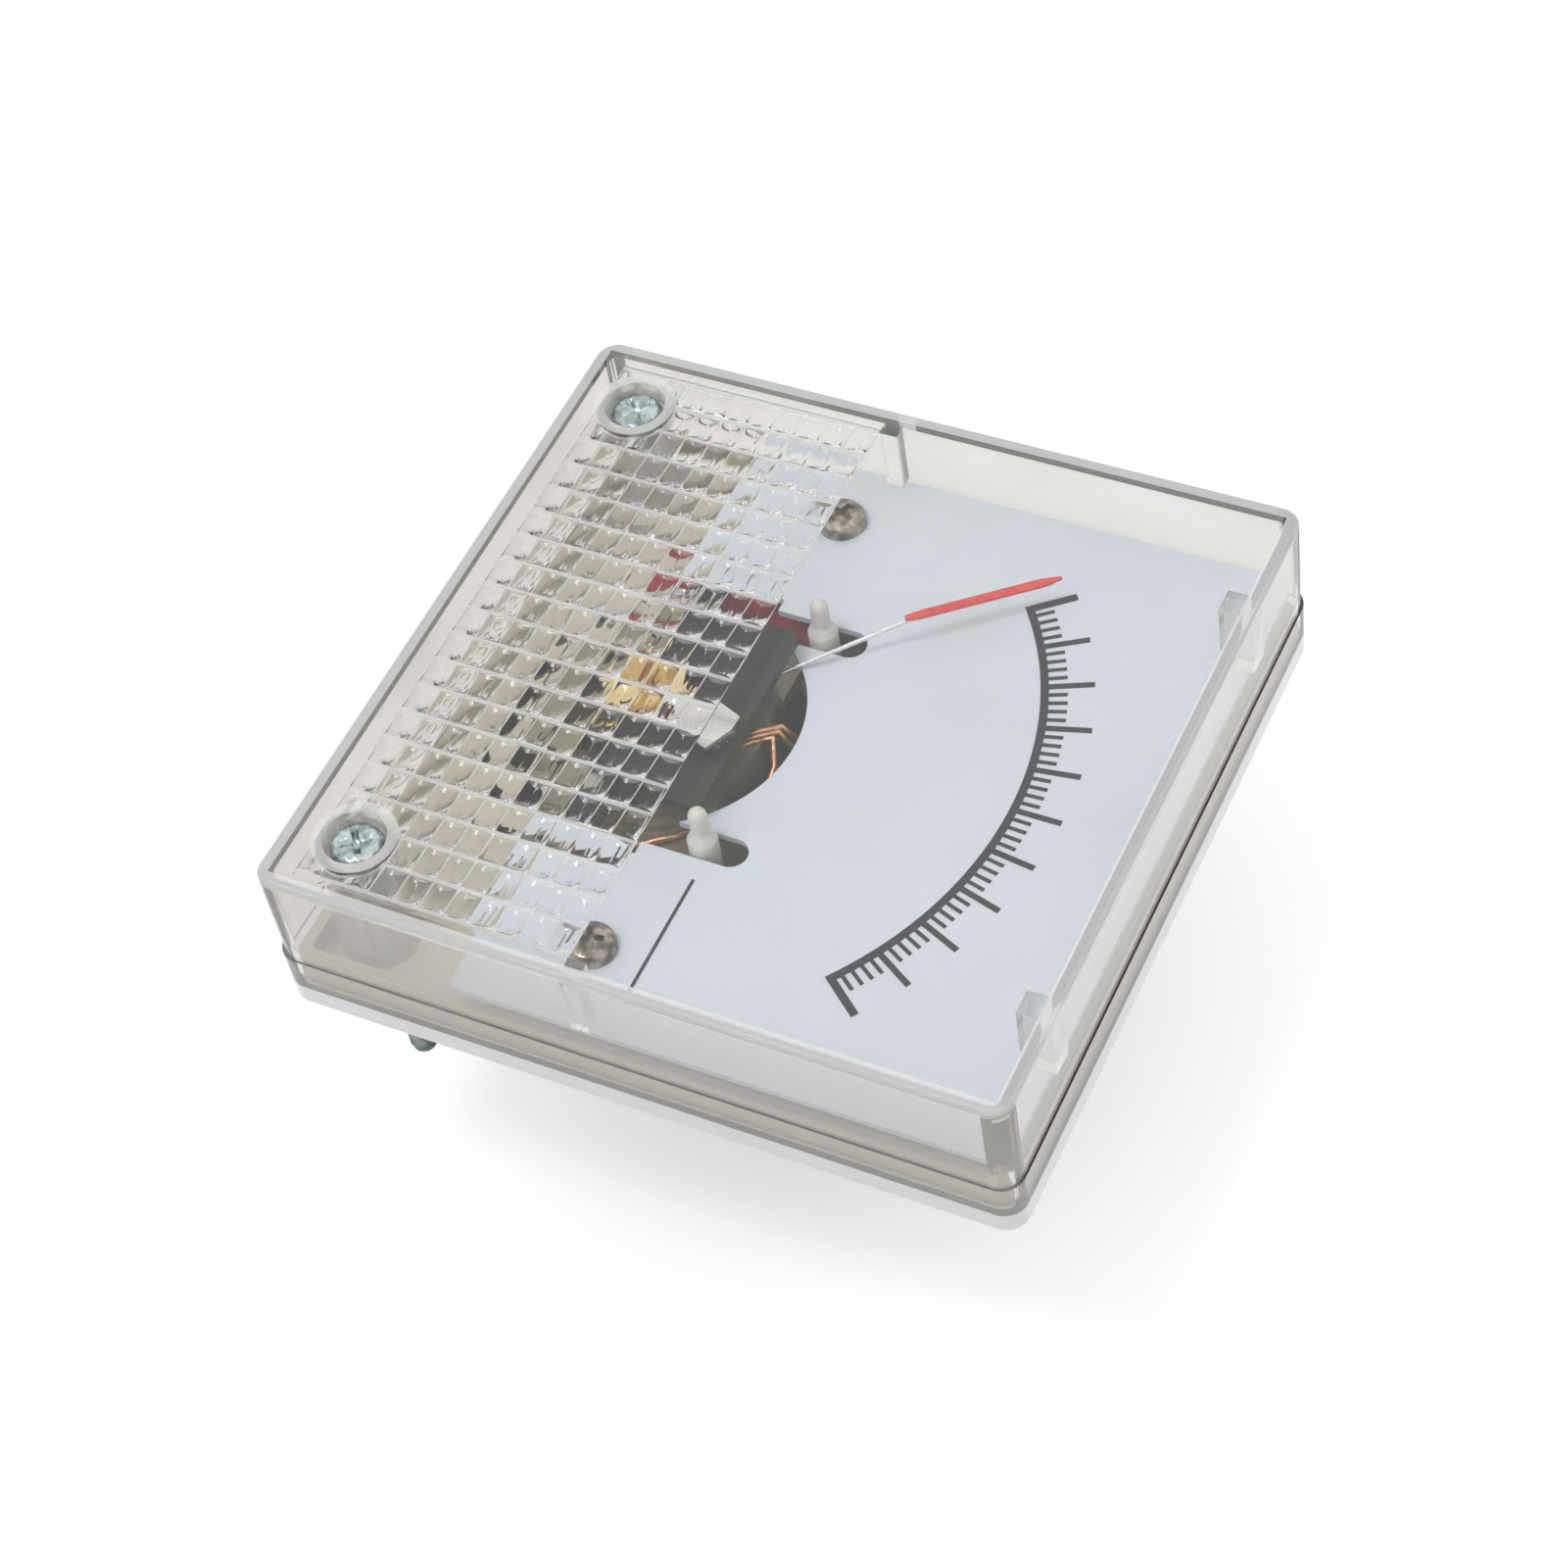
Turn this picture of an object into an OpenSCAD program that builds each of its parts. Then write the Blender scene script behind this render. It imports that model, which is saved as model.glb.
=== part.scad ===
// Square analog panel meter: clear prismatic front cover over a white dial,
// moving-coil movement with a red-tipped pointer, round rear barrel and two studs.
// The origin is on the barrel's axis at the back of the flange (the panel plane).
// +Z points out of the front and +Y is the top of the dial. Heights up the meter are
// given from the centre of its face.

/* [Front cover] */
// Width of the flange across the meter
face_w = 80; // [78:1:92]
// Height of the flange up the dial
face_h = 82; // [80:1:94]
// Height of the front face above the panel
front_h = 19.6; // [19.2:0.1:24]
// Radius of the upright corners
corner_r = 2.5; // [1.5:0.25:4]
// Thickness of the cover's side walls
wall_t = 1.5; // [1.2:0.1:1.8]
// Thickness of the flat window
window_t = 1.6; // [1.4:0.1:2]
// Step between the skirt and the cover above it
skirt_step = 0.25; // [0.1:0.05:0.4]
// Height of the cover's skirt above the flange
skirt_h = 4.35; // [3:0.05:4.6]

/* [Prismatic field] */
// Columns of prism cells
prism_cols = 20; // [10:1:22]
// Rows of prism cells
prism_rows = 11; // [6:1:12]
// Line where the field ends below the clear window
prism_top_y = -6.2; // [-9:0.2:-5]
// Depth of the grooves between the cells
prism_depth = 0.45; // [0.2:0.05:0.6]
// Rise of each crowned row between its valleys
prism_crown = 0.36; // [0.15:0.01:0.5]

/* [Base] */
// Thickness of the clear flange
flange_t = 2.5; // [2.2:0.1:2.8]
// Diameter of the rear barrel
barrel_d = 64; // [60:0.5:66]
// Distance of the barrel's axis below the centre of the face
barrel_drop = 4; // [2:0.5:5]
// Length of the barrel behind the panel
barrel_len = 15.6; // [15.4:0.2:30]
// Wall of the barrel
barrel_wall = 1.8; // [1.4:0.1:2]

/* [Dial] */
// Height of the dial's printed surface above the panel
dial_z = 9.9; // [9.8:0.1:10]
// Thickness of the dial plate
dial_t = 0.8; // [0.5:0.1:1]
// Lower edge of the dial plate
dial_low_y = -20.5; // [-22:0.5:-20]
// Main divisions of the scale
scale_div = 10; // [5:1:12]
// Small steps in each main division
scale_sub = 5; // [2:1:5]
// Angle that the scale spans
scale_sweep = 76.6; // [60:0.2:78]
// Inner radius of the scale's black band
scale_r = 40.3; // [37:0.1:41]
// Width of the scale's black band
band_w = 0.85; // [0.5:0.05:1.2]
// Length of the main marks with the band
major_len = 5.6; // [4:0.1:6]
// Length of the small marks with the band
minor_len = 2.8; // [2:0.1:3.4]

/* [Movement] */
// Height of the pointer's axis on the meter
pivot_y = -16.5; // [-17:0.1:-16]
// Outer diameter of the iron ring round the coil
yoke_d = 24.4; // [23:0.1:27]
// Diameter of the magnet core
core_d = 12.8; // [12:0.1:13]
// Diameter of the zero adjuster's toothed disc
zero_disc_d = 10; // [9:0.1:11]
// Teeth on the zero adjuster's disc
zero_teeth = 12; // [8:1:16]

/* [Pointer] */
// Length of the pointer from its axis
pointer_len = 44.4; // [42:0.1:45]
// Length of the red outer part
red_len = 16.9; // [12:0.1:18]
// Width of the red outer part
red_w = 1; // [0.8:0.1:1.4]
// Diameter of the thin arm
arm_d = 0.5; // [0.4:0.05:0.6]
// Height of the pointer's outer end above the panel
pointer_z = 13.1; // [12.8:0.1:13.4]

/* [Fixings] */
// Diameter of the mounting screws
mount_d = 3; // [2.5:0.1:3.2]
// Length of the mounting screws behind the panel
mount_out = 16.4; // [10:0.2:25]
// Diameter of the terminal studs
terminal_d = 4; // [3:0.5:5]
// Distance between the terminal studs
terminal_pitch = 30; // [28:1:34]
// Length of the terminal studs behind the barrel
terminal_out = 17; // [14:0.5:22]

/* [Hidden] */
$fn = 48;
e = 0.01;
body_w = face_w - 2 * skirt_step;
body_h = face_h - 2 * skirt_step;
cav_w = body_w - 2 * wall_t;
cav_h = body_h - 2 * wall_t;
skirt_z = flange_t + skirt_h;
window_z = front_h - window_t;
edge_c = 0.4;
tray_t = 1.5;
tray_z = flange_t + tray_t;
tray_w = cav_w - 0.5;
tray_h = cav_h - 0.5;
tray_wall = 1.2;
dial_back = dial_z - dial_t;
dial_w = cav_w - 0.7;
dial_top_y = cav_h / 2 - 0.65;
mount_x = face_w / 2 - 8.5;
mount_y = 8 - face_h / 2;
boss_d = 8.4;
well_d = 6.7;
well_z = front_h - 2.3;
screw_x = face_w / 2 - 9.9;
screw_y = -8.5;
post_y = face_h / 2 - 8;
peg_x = 14.6;
peg_y = -3.6;
slot_w = 3.6;
slot_top_y = 1.3;
cut_w = 36;
cut_y = -9.8;
strip_w = 4.6;
strip_l = 20.2;
rule_w = 0.34;
rule_x = peg_x + 4.4;
rule_l = dial_w / 2 - 4.1 - rule_x;
ink_t = 0.08;
hole_d = 30.4;
hole_y = -15.5;
prism_w = cav_w - 3.1;
prism_low_y = 3.9 - face_h / 2;
prism_dx = prism_w / prism_cols;
prism_dy = (prism_top_y - prism_low_y) / prism_rows;
crown_r = (prism_dy * prism_dy / 4 + prism_crown * prism_crown) / (2 * prism_crown);
groove_w = 0.38 * prism_dx;
barrel_r = barrel_d / 2;
barrel_y = -barrel_drop;
lip_t = 1.2;
neck_r = barrel_r + 0.9;
root_c = 0.4;
carrier_low = -24;
carrier_top = 6;
carrier_t = 1.6;
carrier_z = tray_z + carrier_t;
carrier_fix_y = [carrier_top - 2.8, carrier_low + 2];
yoke_r = yoke_d / 2;
well_r = yoke_r + 4;
gap_r = 8.7;
yoke_top = 8.6;
floor_z = barrel_wall - barrel_len;
bridge_low = floor_z + 3.2;
yoke_low = bridge_low + 3.6;
pillar_x = yoke_r + 2.4;
pillar_r = 1.2;
carrier_fix_x = pillar_x + 3.8;
carrier_w = 2 * (carrier_fix_x + 2.6);
strip_x = -pillar_x - pillar_r - 0.2;
window_r = well_r + 0.4;
window_y = yoke_r - 1.7;
plate_w = 2 * yoke_r + 0.4;
plate_y = yoke_r - 0.6;
bridge_z = 11.6;
bridge_t = 1;
bridge_boss = 0.6;
disc_z = bridge_z + bridge_t + bridge_boss + 0.2;
disc_t = 0.9;
nut_t = 1;
coil_in_w = 13.8;
coil_in_top = 7.6;
coil_in_low = bridge_low + 3.8;
former_t = 0.4;
winding_t = 0.65;
coil_y = 4;
zero_angle = scale_sweep / 2;
arm_z = 9.8;
arm_r1 = 13.4;
arm_r2 = pointer_len - red_len;
tab_angle = -21;
terminal_z = barrel_len + terminal_out;
mount_pd = 0.89 * mount_d;
terminal_pd = 0.886 * terminal_d;
thread_c = 0.4;
thread_from = 1;
washer_t = 0.8;
lug_t = 0.6;
hex_h = 0.75 * terminal_d;
nut1_z = barrel_len + washer_t + lug_t + hex_h;
nut2_z = nut1_z + washer_t + hex_h;
stud_head_h = 1.6;
lead_r = 0.25;
lead_step = 0.76;
spool_x = pillar_x + 3;
spool_y = pivot_y + 2.5;
spool_z = carrier_z;
spool_h = 3.1;
spool_r = 2;
lead_z = yoke_top + lead_r;
head_z = floor_z + stud_head_h;
stud_rx = terminal_pitch / 2 - 2.4;
stud_ry = barrel_y - pivot_y + 0.4;
lead_routes = [
  [[0.1, 9.5, lead_z], [-1.5, 11.4, lead_z], [-2.9, yoke_r + 1, lead_z - 0.2],
   [-3.4, yoke_r + 2.3, 6.8], [-3.5, yoke_r + 2.9, 3], [-4, yoke_r + 2.8, yoke_low],
   [-9, yoke_r + 1.8, head_z + 1], [-stud_rx, stud_ry, head_z + lead_r]],
  [[0.1 + lead_step, 9.5, lead_z], [lead_step - 1.5, 11.4, lead_z],
   [lead_step - 2.9, yoke_r + 1, lead_z - 0.2], [lead_step - 3, yoke_r + 2.4, 6.8],
   [-2, yoke_r + 3, 3], [1, yoke_r + 3.1, yoke_low],
   [8, yoke_r + 1.8, head_z + 1], [stud_rx, stud_ry, head_z + lead_r]],
  [[0.1 + 2 * lead_step, 9.5, lead_z], [2 * lead_step - 1.5, 11.4, lead_z],
   [2 * lead_step - 2.7, yoke_r + 0.9, lead_z - 0.1], [1.4, yoke_r + 2.1, 7.4],
   [5, yoke_r + 2.2, 6.1], [yoke_r - 0.2, 8, 6.1],
   [spool_x - 1.4, spool_y - pivot_y + 1.1, spool_z + 1.4]]
];

// ---------- shared shapes ----------

// Moves a child from the centre of the face to the part's origin on the barrel's axis.
module at_face() {
  translate([0, barrel_drop, 0]) children();
}

// A child placed on both sides of the meter's centre line.
module mirrored() {
  children();
  mirror([1, 0, 0]) children();
}

// A block with round upright corners from z0 to z1.
module round_block(w, h, z0, z1, r) {
  translate([-w / 2, r - h / 2, z0]) cube([w, h - 2 * r, z1 - z0]);
  translate([r - w / 2, -h / 2, z0]) cube([w - 2 * r, h, z1 - z0]);
  for (sx = [-1, 1], sy = [-1, 1])
    translate([sx * (w / 2 - r), sy * (h / 2 - r), z0]) cylinder(r = r, h = z1 - z0);
}

// The same block with a small bevel c round its top edge.
module bevel_block(w, h, z0, z1, r, c) {
  module bar(l, d) {
    rotate([90, 0, 90])
      linear_extrude(l, center = true)
        polygon([[-d / 2, z0], [d / 2, z0], [d / 2, z1 - c], [d / 2 - c, z1],
                 [c - d / 2, z1], [-d / 2, z1 - c]]);
  }
  bar(w - 2 * r, h);
  rotate([0, 0, 90]) bar(h - 2 * r, w);
  for (sx = [-1, 1], sy = [-1, 1])
    translate([sx * (w / 2 - r), sy * (h / 2 - r), 0]) {
      translate([0, 0, z0]) cylinder(r = r, h = z1 - c - z0);
      translate([0, 0, z1 - c]) cylinder(r1 = r, r2 = r - c, h = c);
    }
}

// A ring from z0 to z1.
module ring(ro, ri, z0, z1) {
  translate([0, 0, z0])
    difference() {
      cylinder(r = ro, h = z1 - z0);
      translate([0, 0, -1]) cylinder(r = ri, h = z1 - z0 + 2);
    }
}

// Moves a child onto the pointer's axis.
module at_pivot() {
  translate([0, pivot_y, 0]) children();
}

// A straight round rod between two points.
module rod(a, b, r) {
  d = b - a;
  l = norm(d);
  translate(a)
    rotate([0, acos(d[2] / l), atan2(d[1], d[0])])
      cylinder(r = r, h = l, $fn = 24);
}

// Unit direction of a path at point i, halved between its two neighbours.
function heading(pts, i) =
  let (n = len(pts) - 1,
       a = i > 0 ? (pts[i] - pts[i - 1]) / norm(pts[i] - pts[i - 1]) : [0, 0, 0],
       b = i < n ? (pts[i + 1] - pts[i]) / norm(pts[i + 1] - pts[i]) : [0, 0, 0])
    (a + b) / norm(a + b);

// A round wire swept along a path. ref is a direction that no part of the path takes.
module wire(pts, r, ref = [1, 0, 0], sides = 12) {
  n = len(pts);
  rings = [for (i = [0 : n - 1], k = [0 : sides - 1])
             let (h = heading(pts, i),
                  v = cross(h, ref) / norm(cross(h, ref)),
                  u = cross(v, h),
                  a = k * 360 / sides)
               pts[i] + r * cos(a) * u + r * sin(a) * v];
  walls = [for (i = [0 : n - 2], k = [0 : sides - 1], t = [0, 1])
             let (j = (k + 1) % sides, low = i * sides, high = low + sides)
               t == 0 ? [low + k, low + j, high + j] : [low + k, high + j, high + k]];
  polyhedron(rings, concat(walls,
                           [[for (k = [sides - 1 : -1 : 0]) k]],
                           [[for (k = [0 : sides - 1]) (n - 1) * sides + k]]));
}

// A cross recess cut into a screw's head.
module cross_recess(w, t, d) {
  for (a = [0, 90])
    rotate([0, 0, a])
      translate([-w / 2, -t / 2, -d]) cube([w, t, d + 1]);
}

// A pan head of radius r and height h with a rounded shoulder.
module pan_head(r, h) {
  rotate_extrude()
    polygon(concat([[0, 0], [r, 0], [r, h * 0.35]],
                   [for (a = [15 : 15 : 75])
                      [r - 0.3 * r * (1 - cos(a)), h * (0.35 + 0.55 * sin(a))]],
                   [[r * 0.62, h * 0.93], [r * 0.3, h], [0, h]]));
}

// ---------- housing ----------

// What is cut from the window's underside between two crowned rows, over the whole field.
module row_valleys() {
  difference() {
    translate([-prism_w / 2, prism_low_y, window_z - e])
      cube([prism_w, prism_top_y - prism_low_y, prism_crown + e]);
    for (j = [0 : prism_rows - 1])
      translate([0, prism_low_y + (j + 0.5) * prism_dy, window_z + crown_r])
        rotate([0, 90, 0]) cylinder(r = crown_r, h = prism_w + 2, center = true, $fn = 96);
  }
}

// One groove of triangular section across the rows, along Y.
module column_groove() {
  mid_y = (prism_top_y + prism_low_y) / 2;
  translate([0, mid_y, window_z])
    rotate([90, 0, 0])
      linear_extrude(prism_top_y - prism_low_y, center = true)
        polygon([[-groove_w * 0.7, -prism_depth * 0.4], [groove_w * 0.7, -prism_depth * 0.4],
                 [0, prism_depth]]);
}

// The crowned rows and the grooves across them that turn the lower window into prism cells.
module prism_relief() {
  row_valleys();
  for (i = [0 : prism_cols])
    translate([i * prism_dx - prism_w / 2, 0, 0]) column_groove();
}

// Inner lugs that keep the dial down: two on the side walls, two on the top wall.
module cover_lugs() {
  lug_z = dial_z + 0.3;
  mirrored() {
    translate([cav_w / 2 - 1.5, prism_top_y, lug_z]) cube([1.6, 2, window_z - lug_z + e]);
    translate([25, cav_h / 2 - 2.5, lug_z]) cube([2.8, 2.6, window_z - lug_z + e]);
  }
}

module front_cover() {
  color("whitesmoke", 0.35) at_face()
    difference() {
      union() {
        difference() {
          union() {
            round_block(face_w, face_h, flange_t, skirt_z, corner_r);
            bevel_block(body_w, body_h, skirt_z - e, front_h, corner_r, edge_c);
          }
          round_block(cav_w, cav_h, flange_t - 1, window_z, 1);
          prism_relief();
        }
        cover_lugs();
        for (s = [-1, 1])
          translate([s * mount_x, mount_y, tray_z])
            cylinder(d = boss_d, h = front_h - tray_z - 0.5);
      }
      for (s = [-1, 1])
        translate([s * mount_x, mount_y, 0]) {
          cylinder(d = mount_d + 0.4, h = front_h + 1);
          translate([0, 0, well_z]) cylinder(d = well_d, h = 4);
        }
    }
}

module base_flange() {
  color("gainsboro", 0.6) at_face()
    difference() {
      round_block(face_w, face_h, 0, flange_t, corner_r);
      translate([0, barrel_y, -1]) cylinder(r = neck_r + 0.1, h = 5, $fn = 96);
      translate([0, barrel_y, flange_t - lip_t]) cylinder(r = neck_r + 1.3, h = 5, $fn = 96);
      for (s = [-1, 1])
        translate([s * mount_x, mount_y, -1]) cylinder(d = mount_d + 0.4, h = 5);
    }
}

module base_tray() {
  color("antiquewhite") at_face()
    difference() {
      union() {
        difference() {
          round_block(tray_w, tray_h, flange_t, skirt_z, 1);
          round_block(tray_w - 2 * tray_wall, tray_h - 2 * tray_wall, tray_z, skirt_z + 1, 0.8);
        }
        for (s = [-1, 1]) {
          translate([s * screw_x, screw_y, tray_z - e])
            cylinder(d = 5.2, h = dial_back - tray_z + e);
          translate([s * screw_x, post_y, tray_z - e])
            cylinder(d = 4.4, h = dial_back - tray_z + e);
        }
      }
      translate([0, pivot_y, 0]) cylinder(r = well_r, h = 20, $fn = 96);
      for (s = [-1, 1]) {
        translate([s * screw_x, screw_y, tray_z]) cylinder(r = 1.22, h = 20);
        translate([s * mount_x, mount_y, 0]) cylinder(d = mount_d + 0.4, h = 20);
        for (y = carrier_fix_y)
          translate([s * carrier_fix_x, y, 0]) cylinder(r = 1.02, h = 20);
      }
    }
}

module barrel_cup() {
  color("dimgray") at_face()
    translate([0, barrel_y, 0])
      difference() {
        union() {
          translate([0, 0, 1.2 - barrel_len])
            cylinder(r = barrel_r, h = barrel_len - 1.2 + flange_t, $fn = 96);
          translate([0, 0, flange_t - lip_t - root_c])
            cylinder(r1 = barrel_r, r2 = barrel_r + root_c, h = root_c, $fn = 96);
          translate([0, 0, -barrel_len])
            cylinder(r1 = barrel_r - 1.2, r2 = barrel_r, h = 1.2, $fn = 96);
          translate([0, 0, flange_t - lip_t])
            cylinder(r = neck_r + 1.2, h = lip_t, $fn = 96);
        }
        translate([0, 0, barrel_wall - barrel_len])
          cylinder(r = barrel_r - barrel_wall, h = barrel_len + 5, $fn = 96);
        for (s = [-1, 1])
          translate([s * terminal_pitch / 2, 0, -barrel_len - 1])
            cylinder(d = terminal_d + 0.2, h = 5);
      }
}

// ---------- dial ----------

// The plate's outline seen from the front, with the slots and the cut-out.
module dial_plate() {
  h = dial_top_y - dial_low_y;
  color("aliceblue") at_face()
    difference() {
      translate([0, dial_low_y + h / 2, 0])
        round_block(dial_w, h, dial_back, dial_z, 1);
      translate([0, hole_y, 0]) cylinder(d = hole_d, h = 20, $fn = 96);
      translate([-cut_w / 2, dial_low_y - 5, 0]) cube([cut_w, cut_y - dial_low_y + 5, 20]);
      for (s = [-1, 1]) {
        translate([s * peg_x, slot_top_y - slot_w / 2, 0]) cylinder(d = slot_w, h = 20);
        translate([s * peg_x - slot_w / 2, cut_y - 1, 0])
          cube([slot_w, slot_top_y - slot_w / 2 - cut_y + 1, 20]);
        translate([s * screw_x, screw_y, 0]) cylinder(r = 1.35, h = 20);
      }
    }
}

// The printed scale: a band with a row of marks outside it.
module scale_marks() {
  steps = scale_div * scale_sub;
  color("black") at_face()
    translate([0, pivot_y, dial_z]) {
      rotate([0, 0, 90 - scale_sweep / 2])
        rotate_extrude(angle = scale_sweep, $fn = 360)
          translate([scale_r, 0]) square([band_w, 0.08]);
      for (i = [0 : steps]) {
        major = i % scale_sub == 0;
        last = i == 0 || i == steps;
        w = last ? 0.85 : major ? 0.65 : 0.42;
        l = major ? major_len : minor_len;
        rotate([0, 0, scale_sweep / 2 - i * scale_sweep / steps])
          translate([-w / 2, scale_r + (last ? 0 : 0.2), 0])
            cube([w, l - (last ? 0 : 0.2), 0.08]);
      }
    }
}

module caption_line() {
  color("black") at_face()
    translate([rule_x, peg_y + 0.8, dial_z]) cube([rule_l, rule_w, ink_t]);
}

module dial_screws() {
  color("silver") at_face()
    for (s = [-1, 1])
      translate([s * screw_x, screw_y, 0])
        difference() {
          union() {
            translate([0, 0, dial_z]) pan_head(2.65, 1.75);
            translate([0, 0, 5]) cylinder(r = 1.2, h = dial_z - 5 + e);
          }
          translate([0, 0, dial_z + 1.75]) rotate([0, 0, 20 * s]) cross_recess(3, 0.7, 1);
        }
}

module mounting_screws() {
  color("lightsteelblue") at_face()
    for (s = [-1, 1])
      translate([s * mount_x, mount_y, 0])
        difference() {
          union() {
            translate([0, 0, well_z]) pan_head(2.85, 1.8);
            translate([0, 0, -thread_from])
              cylinder(d = mount_pd, h = well_z + thread_from + e);
            translate([0, 0, thread_c - mount_out])
              cylinder(d = mount_d, h = mount_out - thread_c - thread_from);
            translate([0, 0, -mount_out])
              cylinder(d1 = mount_d - 2 * thread_c, d2 = mount_d, h = thread_c);
          }
          translate([0, 0, well_z + 1.8]) rotate([0, 0, 35 * s]) cross_recess(3.4, 0.75, 1.1);
        }
}

// Nylon pegs that stand on the carrier plate, pass the slots and stop the pointer.
module stop_pegs() {
  color("ivory") at_face()
    mirrored()
      translate([peg_x, peg_y, carrier_z]) {
        cylinder(r = 1.6, h = 11 - carrier_z);
        translate([0, 0, 11 - carrier_z]) cylinder(r1 = 1.6, r2 = 1, h = 1.2);
        translate([0, 0, 12.2 - carrier_z]) cylinder(r = 1, h = 2.4);
        translate([0, 0, 14.6 - carrier_z]) sphere(r = 1);
      }
}

// ---------- movement, fixed parts ----------

// The opening past the yoke's front, where the leads go down into the barrel.
module front_well() {
  intersection() {
    cylinder(r = window_r, h = 20, $fn = 96);
    translate([-window_r, window_y, -1]) cube([2 * window_r, window_r, 22]);
  }
}

module carrier_plate() {
  h = carrier_top - carrier_low;
  color("gray") at_face()
    difference() {
      translate([0, carrier_low + h / 2, 0]) round_block(carrier_w, h, tray_z, carrier_z, 2);
      at_pivot() {
        cylinder(r = yoke_r + 0.05, h = 20, $fn = 96);
        front_well();
      }
      for (s = [-1, 1], y = carrier_fix_y)
        translate([s * carrier_fix_x, y, 0]) cylinder(r = 1.1, h = 20);
    }
}

module carrier_screws() {
  color("silver") at_face()
    for (s = [-1, 1], y = carrier_fix_y)
      translate([s * carrier_fix_x, y, carrier_z]) {
        difference() {
          pan_head(2, 1.2);
          translate([0, 0, 1.2]) cross_recess(2.4, 0.5, 0.6);
        }
        translate([0, 0, -3]) cylinder(r = 1, h = 3 + e);
      }
}

module yoke_ring() {
  color("darkkhaki") at_face()
    at_pivot()
      difference() {
        union() {
          translate([0, 0, yoke_low]) cylinder(r = yoke_r, h = yoke_top - yoke_low, $fn = 96);
          difference() {
            translate([0, 0, carrier_z]) cylinder(r = yoke_r + 1, h = 1, $fn = 96);
            translate([-yoke_r - 2, window_y, carrier_z - 1])
              cube([2 * yoke_r + 4, yoke_r, 4]);
          }
        }
        translate([0, 0, yoke_low - 1]) cylinder(r = gap_r, h = 30, $fn = 96);
      }
}

module magnet_core() {
  color("dimgray") at_face()
    at_pivot()
      translate([0, 0, yoke_low + 0.8])
        cylinder(d = core_d, h = yoke_top - yoke_low - 2.4, $fn = 96);
}

// Bars that hold the core in the ring, clear of the coil's swing.
module core_supports() {
  color("goldenrod") at_face()
    at_pivot()
      for (s = [0, 180])
        rotate([0, 0, s])
          intersection() {
            translate([-1.5, 4, -1.5]) cube([3, 6, 4]);
            ring(gap_r, core_d / 2, -2, 4);
          }
}

module bridge_pillars() {
  color("silver") at_face()
    at_pivot()
      for (s = [-1, 1])
        translate([s * pillar_x, 0, 0]) {
          ring(pillar_r, 0.85, carrier_z, bridge_z);
          ring(pillar_r, 0.85, bridge_low + bridge_t, tray_z);
        }
}

// A flat bridge over the coil with its boss and its holes.
module bridge(z, boss) {
  difference() {
    union() {
      translate([0, 0, z]) {
        translate([-pillar_x, -2, 0]) cube([2 * pillar_x, 4, bridge_t]);
        for (s = [-1, 1])
          translate([s * pillar_x, 0, 0]) cylinder(r = 2, h = bridge_t);
      }
      translate([0, 0, boss > 0 ? z : z + boss])
        cylinder(r = 3.4, h = bridge_t + abs(boss));
    }
    translate([0, 0, z - 5]) cylinder(r = 1.5, h = 15);
    for (s = [-1, 1])
      translate([s * pillar_x, 0, z - 5]) cylinder(r = 0.9, h = 15);
  }
}

module upper_bridge() {
  x = plate_w / 2;
  color("gray") at_face() at_pivot() {
    bridge(bridge_z, bridge_boss);
    translate([0, 0, bridge_z])
      linear_extrude(bridge_t)
        polygon([[-x, 1.9], [x, 1.9], [x, plate_y - 1], [x - 1, plate_y],
                 [1 - x, plate_y], [-x, plate_y - 1]]);
  }
}

module lower_bridge() {
  color("gray") at_face() at_pivot() bridge(bridge_low, -bridge_boss);
}

module bridge_screws() {
  module screw() {
    difference() {
      pan_head(1.7, 1);
      translate([-2, -0.2, 0.55]) cube([4, 0.4, 2]);
    }
    translate([0, 0, -3.8]) cylinder(r = 0.8, h = 3.8 + e);
  }
  color("silver") at_face()
    at_pivot()
      for (s = [-1, 1]) {
        translate([s * pillar_x, 0, bridge_z + bridge_t]) screw();
        translate([s * pillar_x, 0, bridge_low]) mirror([0, 0, 1]) screw();
      }
}

// A slotted bush that carries the pivot in its hollow end.
module jewel_screw(l) {
  difference() {
    cylinder(r = 1.45, h = l);
    translate([0, 0, -1]) cylinder(r = 0.6, h = 2);
    translate([-2, -0.25, l - 0.6]) cube([4, 0.5, 2]);
  }
}

module upper_jewel_screw() {
  color("goldenrod") at_face()
    translate([0, pivot_y, bridge_z - 0.2]) jewel_screw(disc_z + disc_t + nut_t + 1 - bridge_z);
}

module lower_jewel_screw() {
  color("goldenrod") at_face()
    translate([0, pivot_y, bridge_low + bridge_t + 0.2])
      mirror([0, 0, 1]) jewel_screw(bridge_t + bridge_boss + nut_t + 1.2);
}

module jewel_lock_nuts() {
  module nut() {
    difference() {
      cylinder(r = 2.4, h = nut_t, $fn = 6);
      translate([0, 0, -1]) cylinder(r = 1.5, h = 4);
    }
  }
  color("gold") at_face()
    at_pivot() {
      translate([0, 0, disc_z + disc_t + 0.2]) nut();
      translate([0, 0, bridge_low - bridge_boss - nut_t]) nut();
    }
}

// ---------- zero adjuster ----------

module zero_disc() {
  r = zero_disc_d / 2;
  color("gold") at_face()
    translate([0, pivot_y, disc_z])
      difference() {
        cylinder(r = r, h = disc_t, $fn = 96);
        translate([0, 0, -1]) cylinder(r = 1.6, h = 4);
        for (i = [0 : zero_teeth - 1])
          rotate([0, 0, (i + 0.5) * 360 / zero_teeth])
            translate([r - 0.9, -r * 0.13, -1]) cube([3, r * 0.26, 4]);
        for (a = [45 : 90 : 315])
          rotate([0, 0, a])
            translate([2.1, -0.45, -1]) cube([1.1, 0.9, 4]);
      }
}

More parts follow.
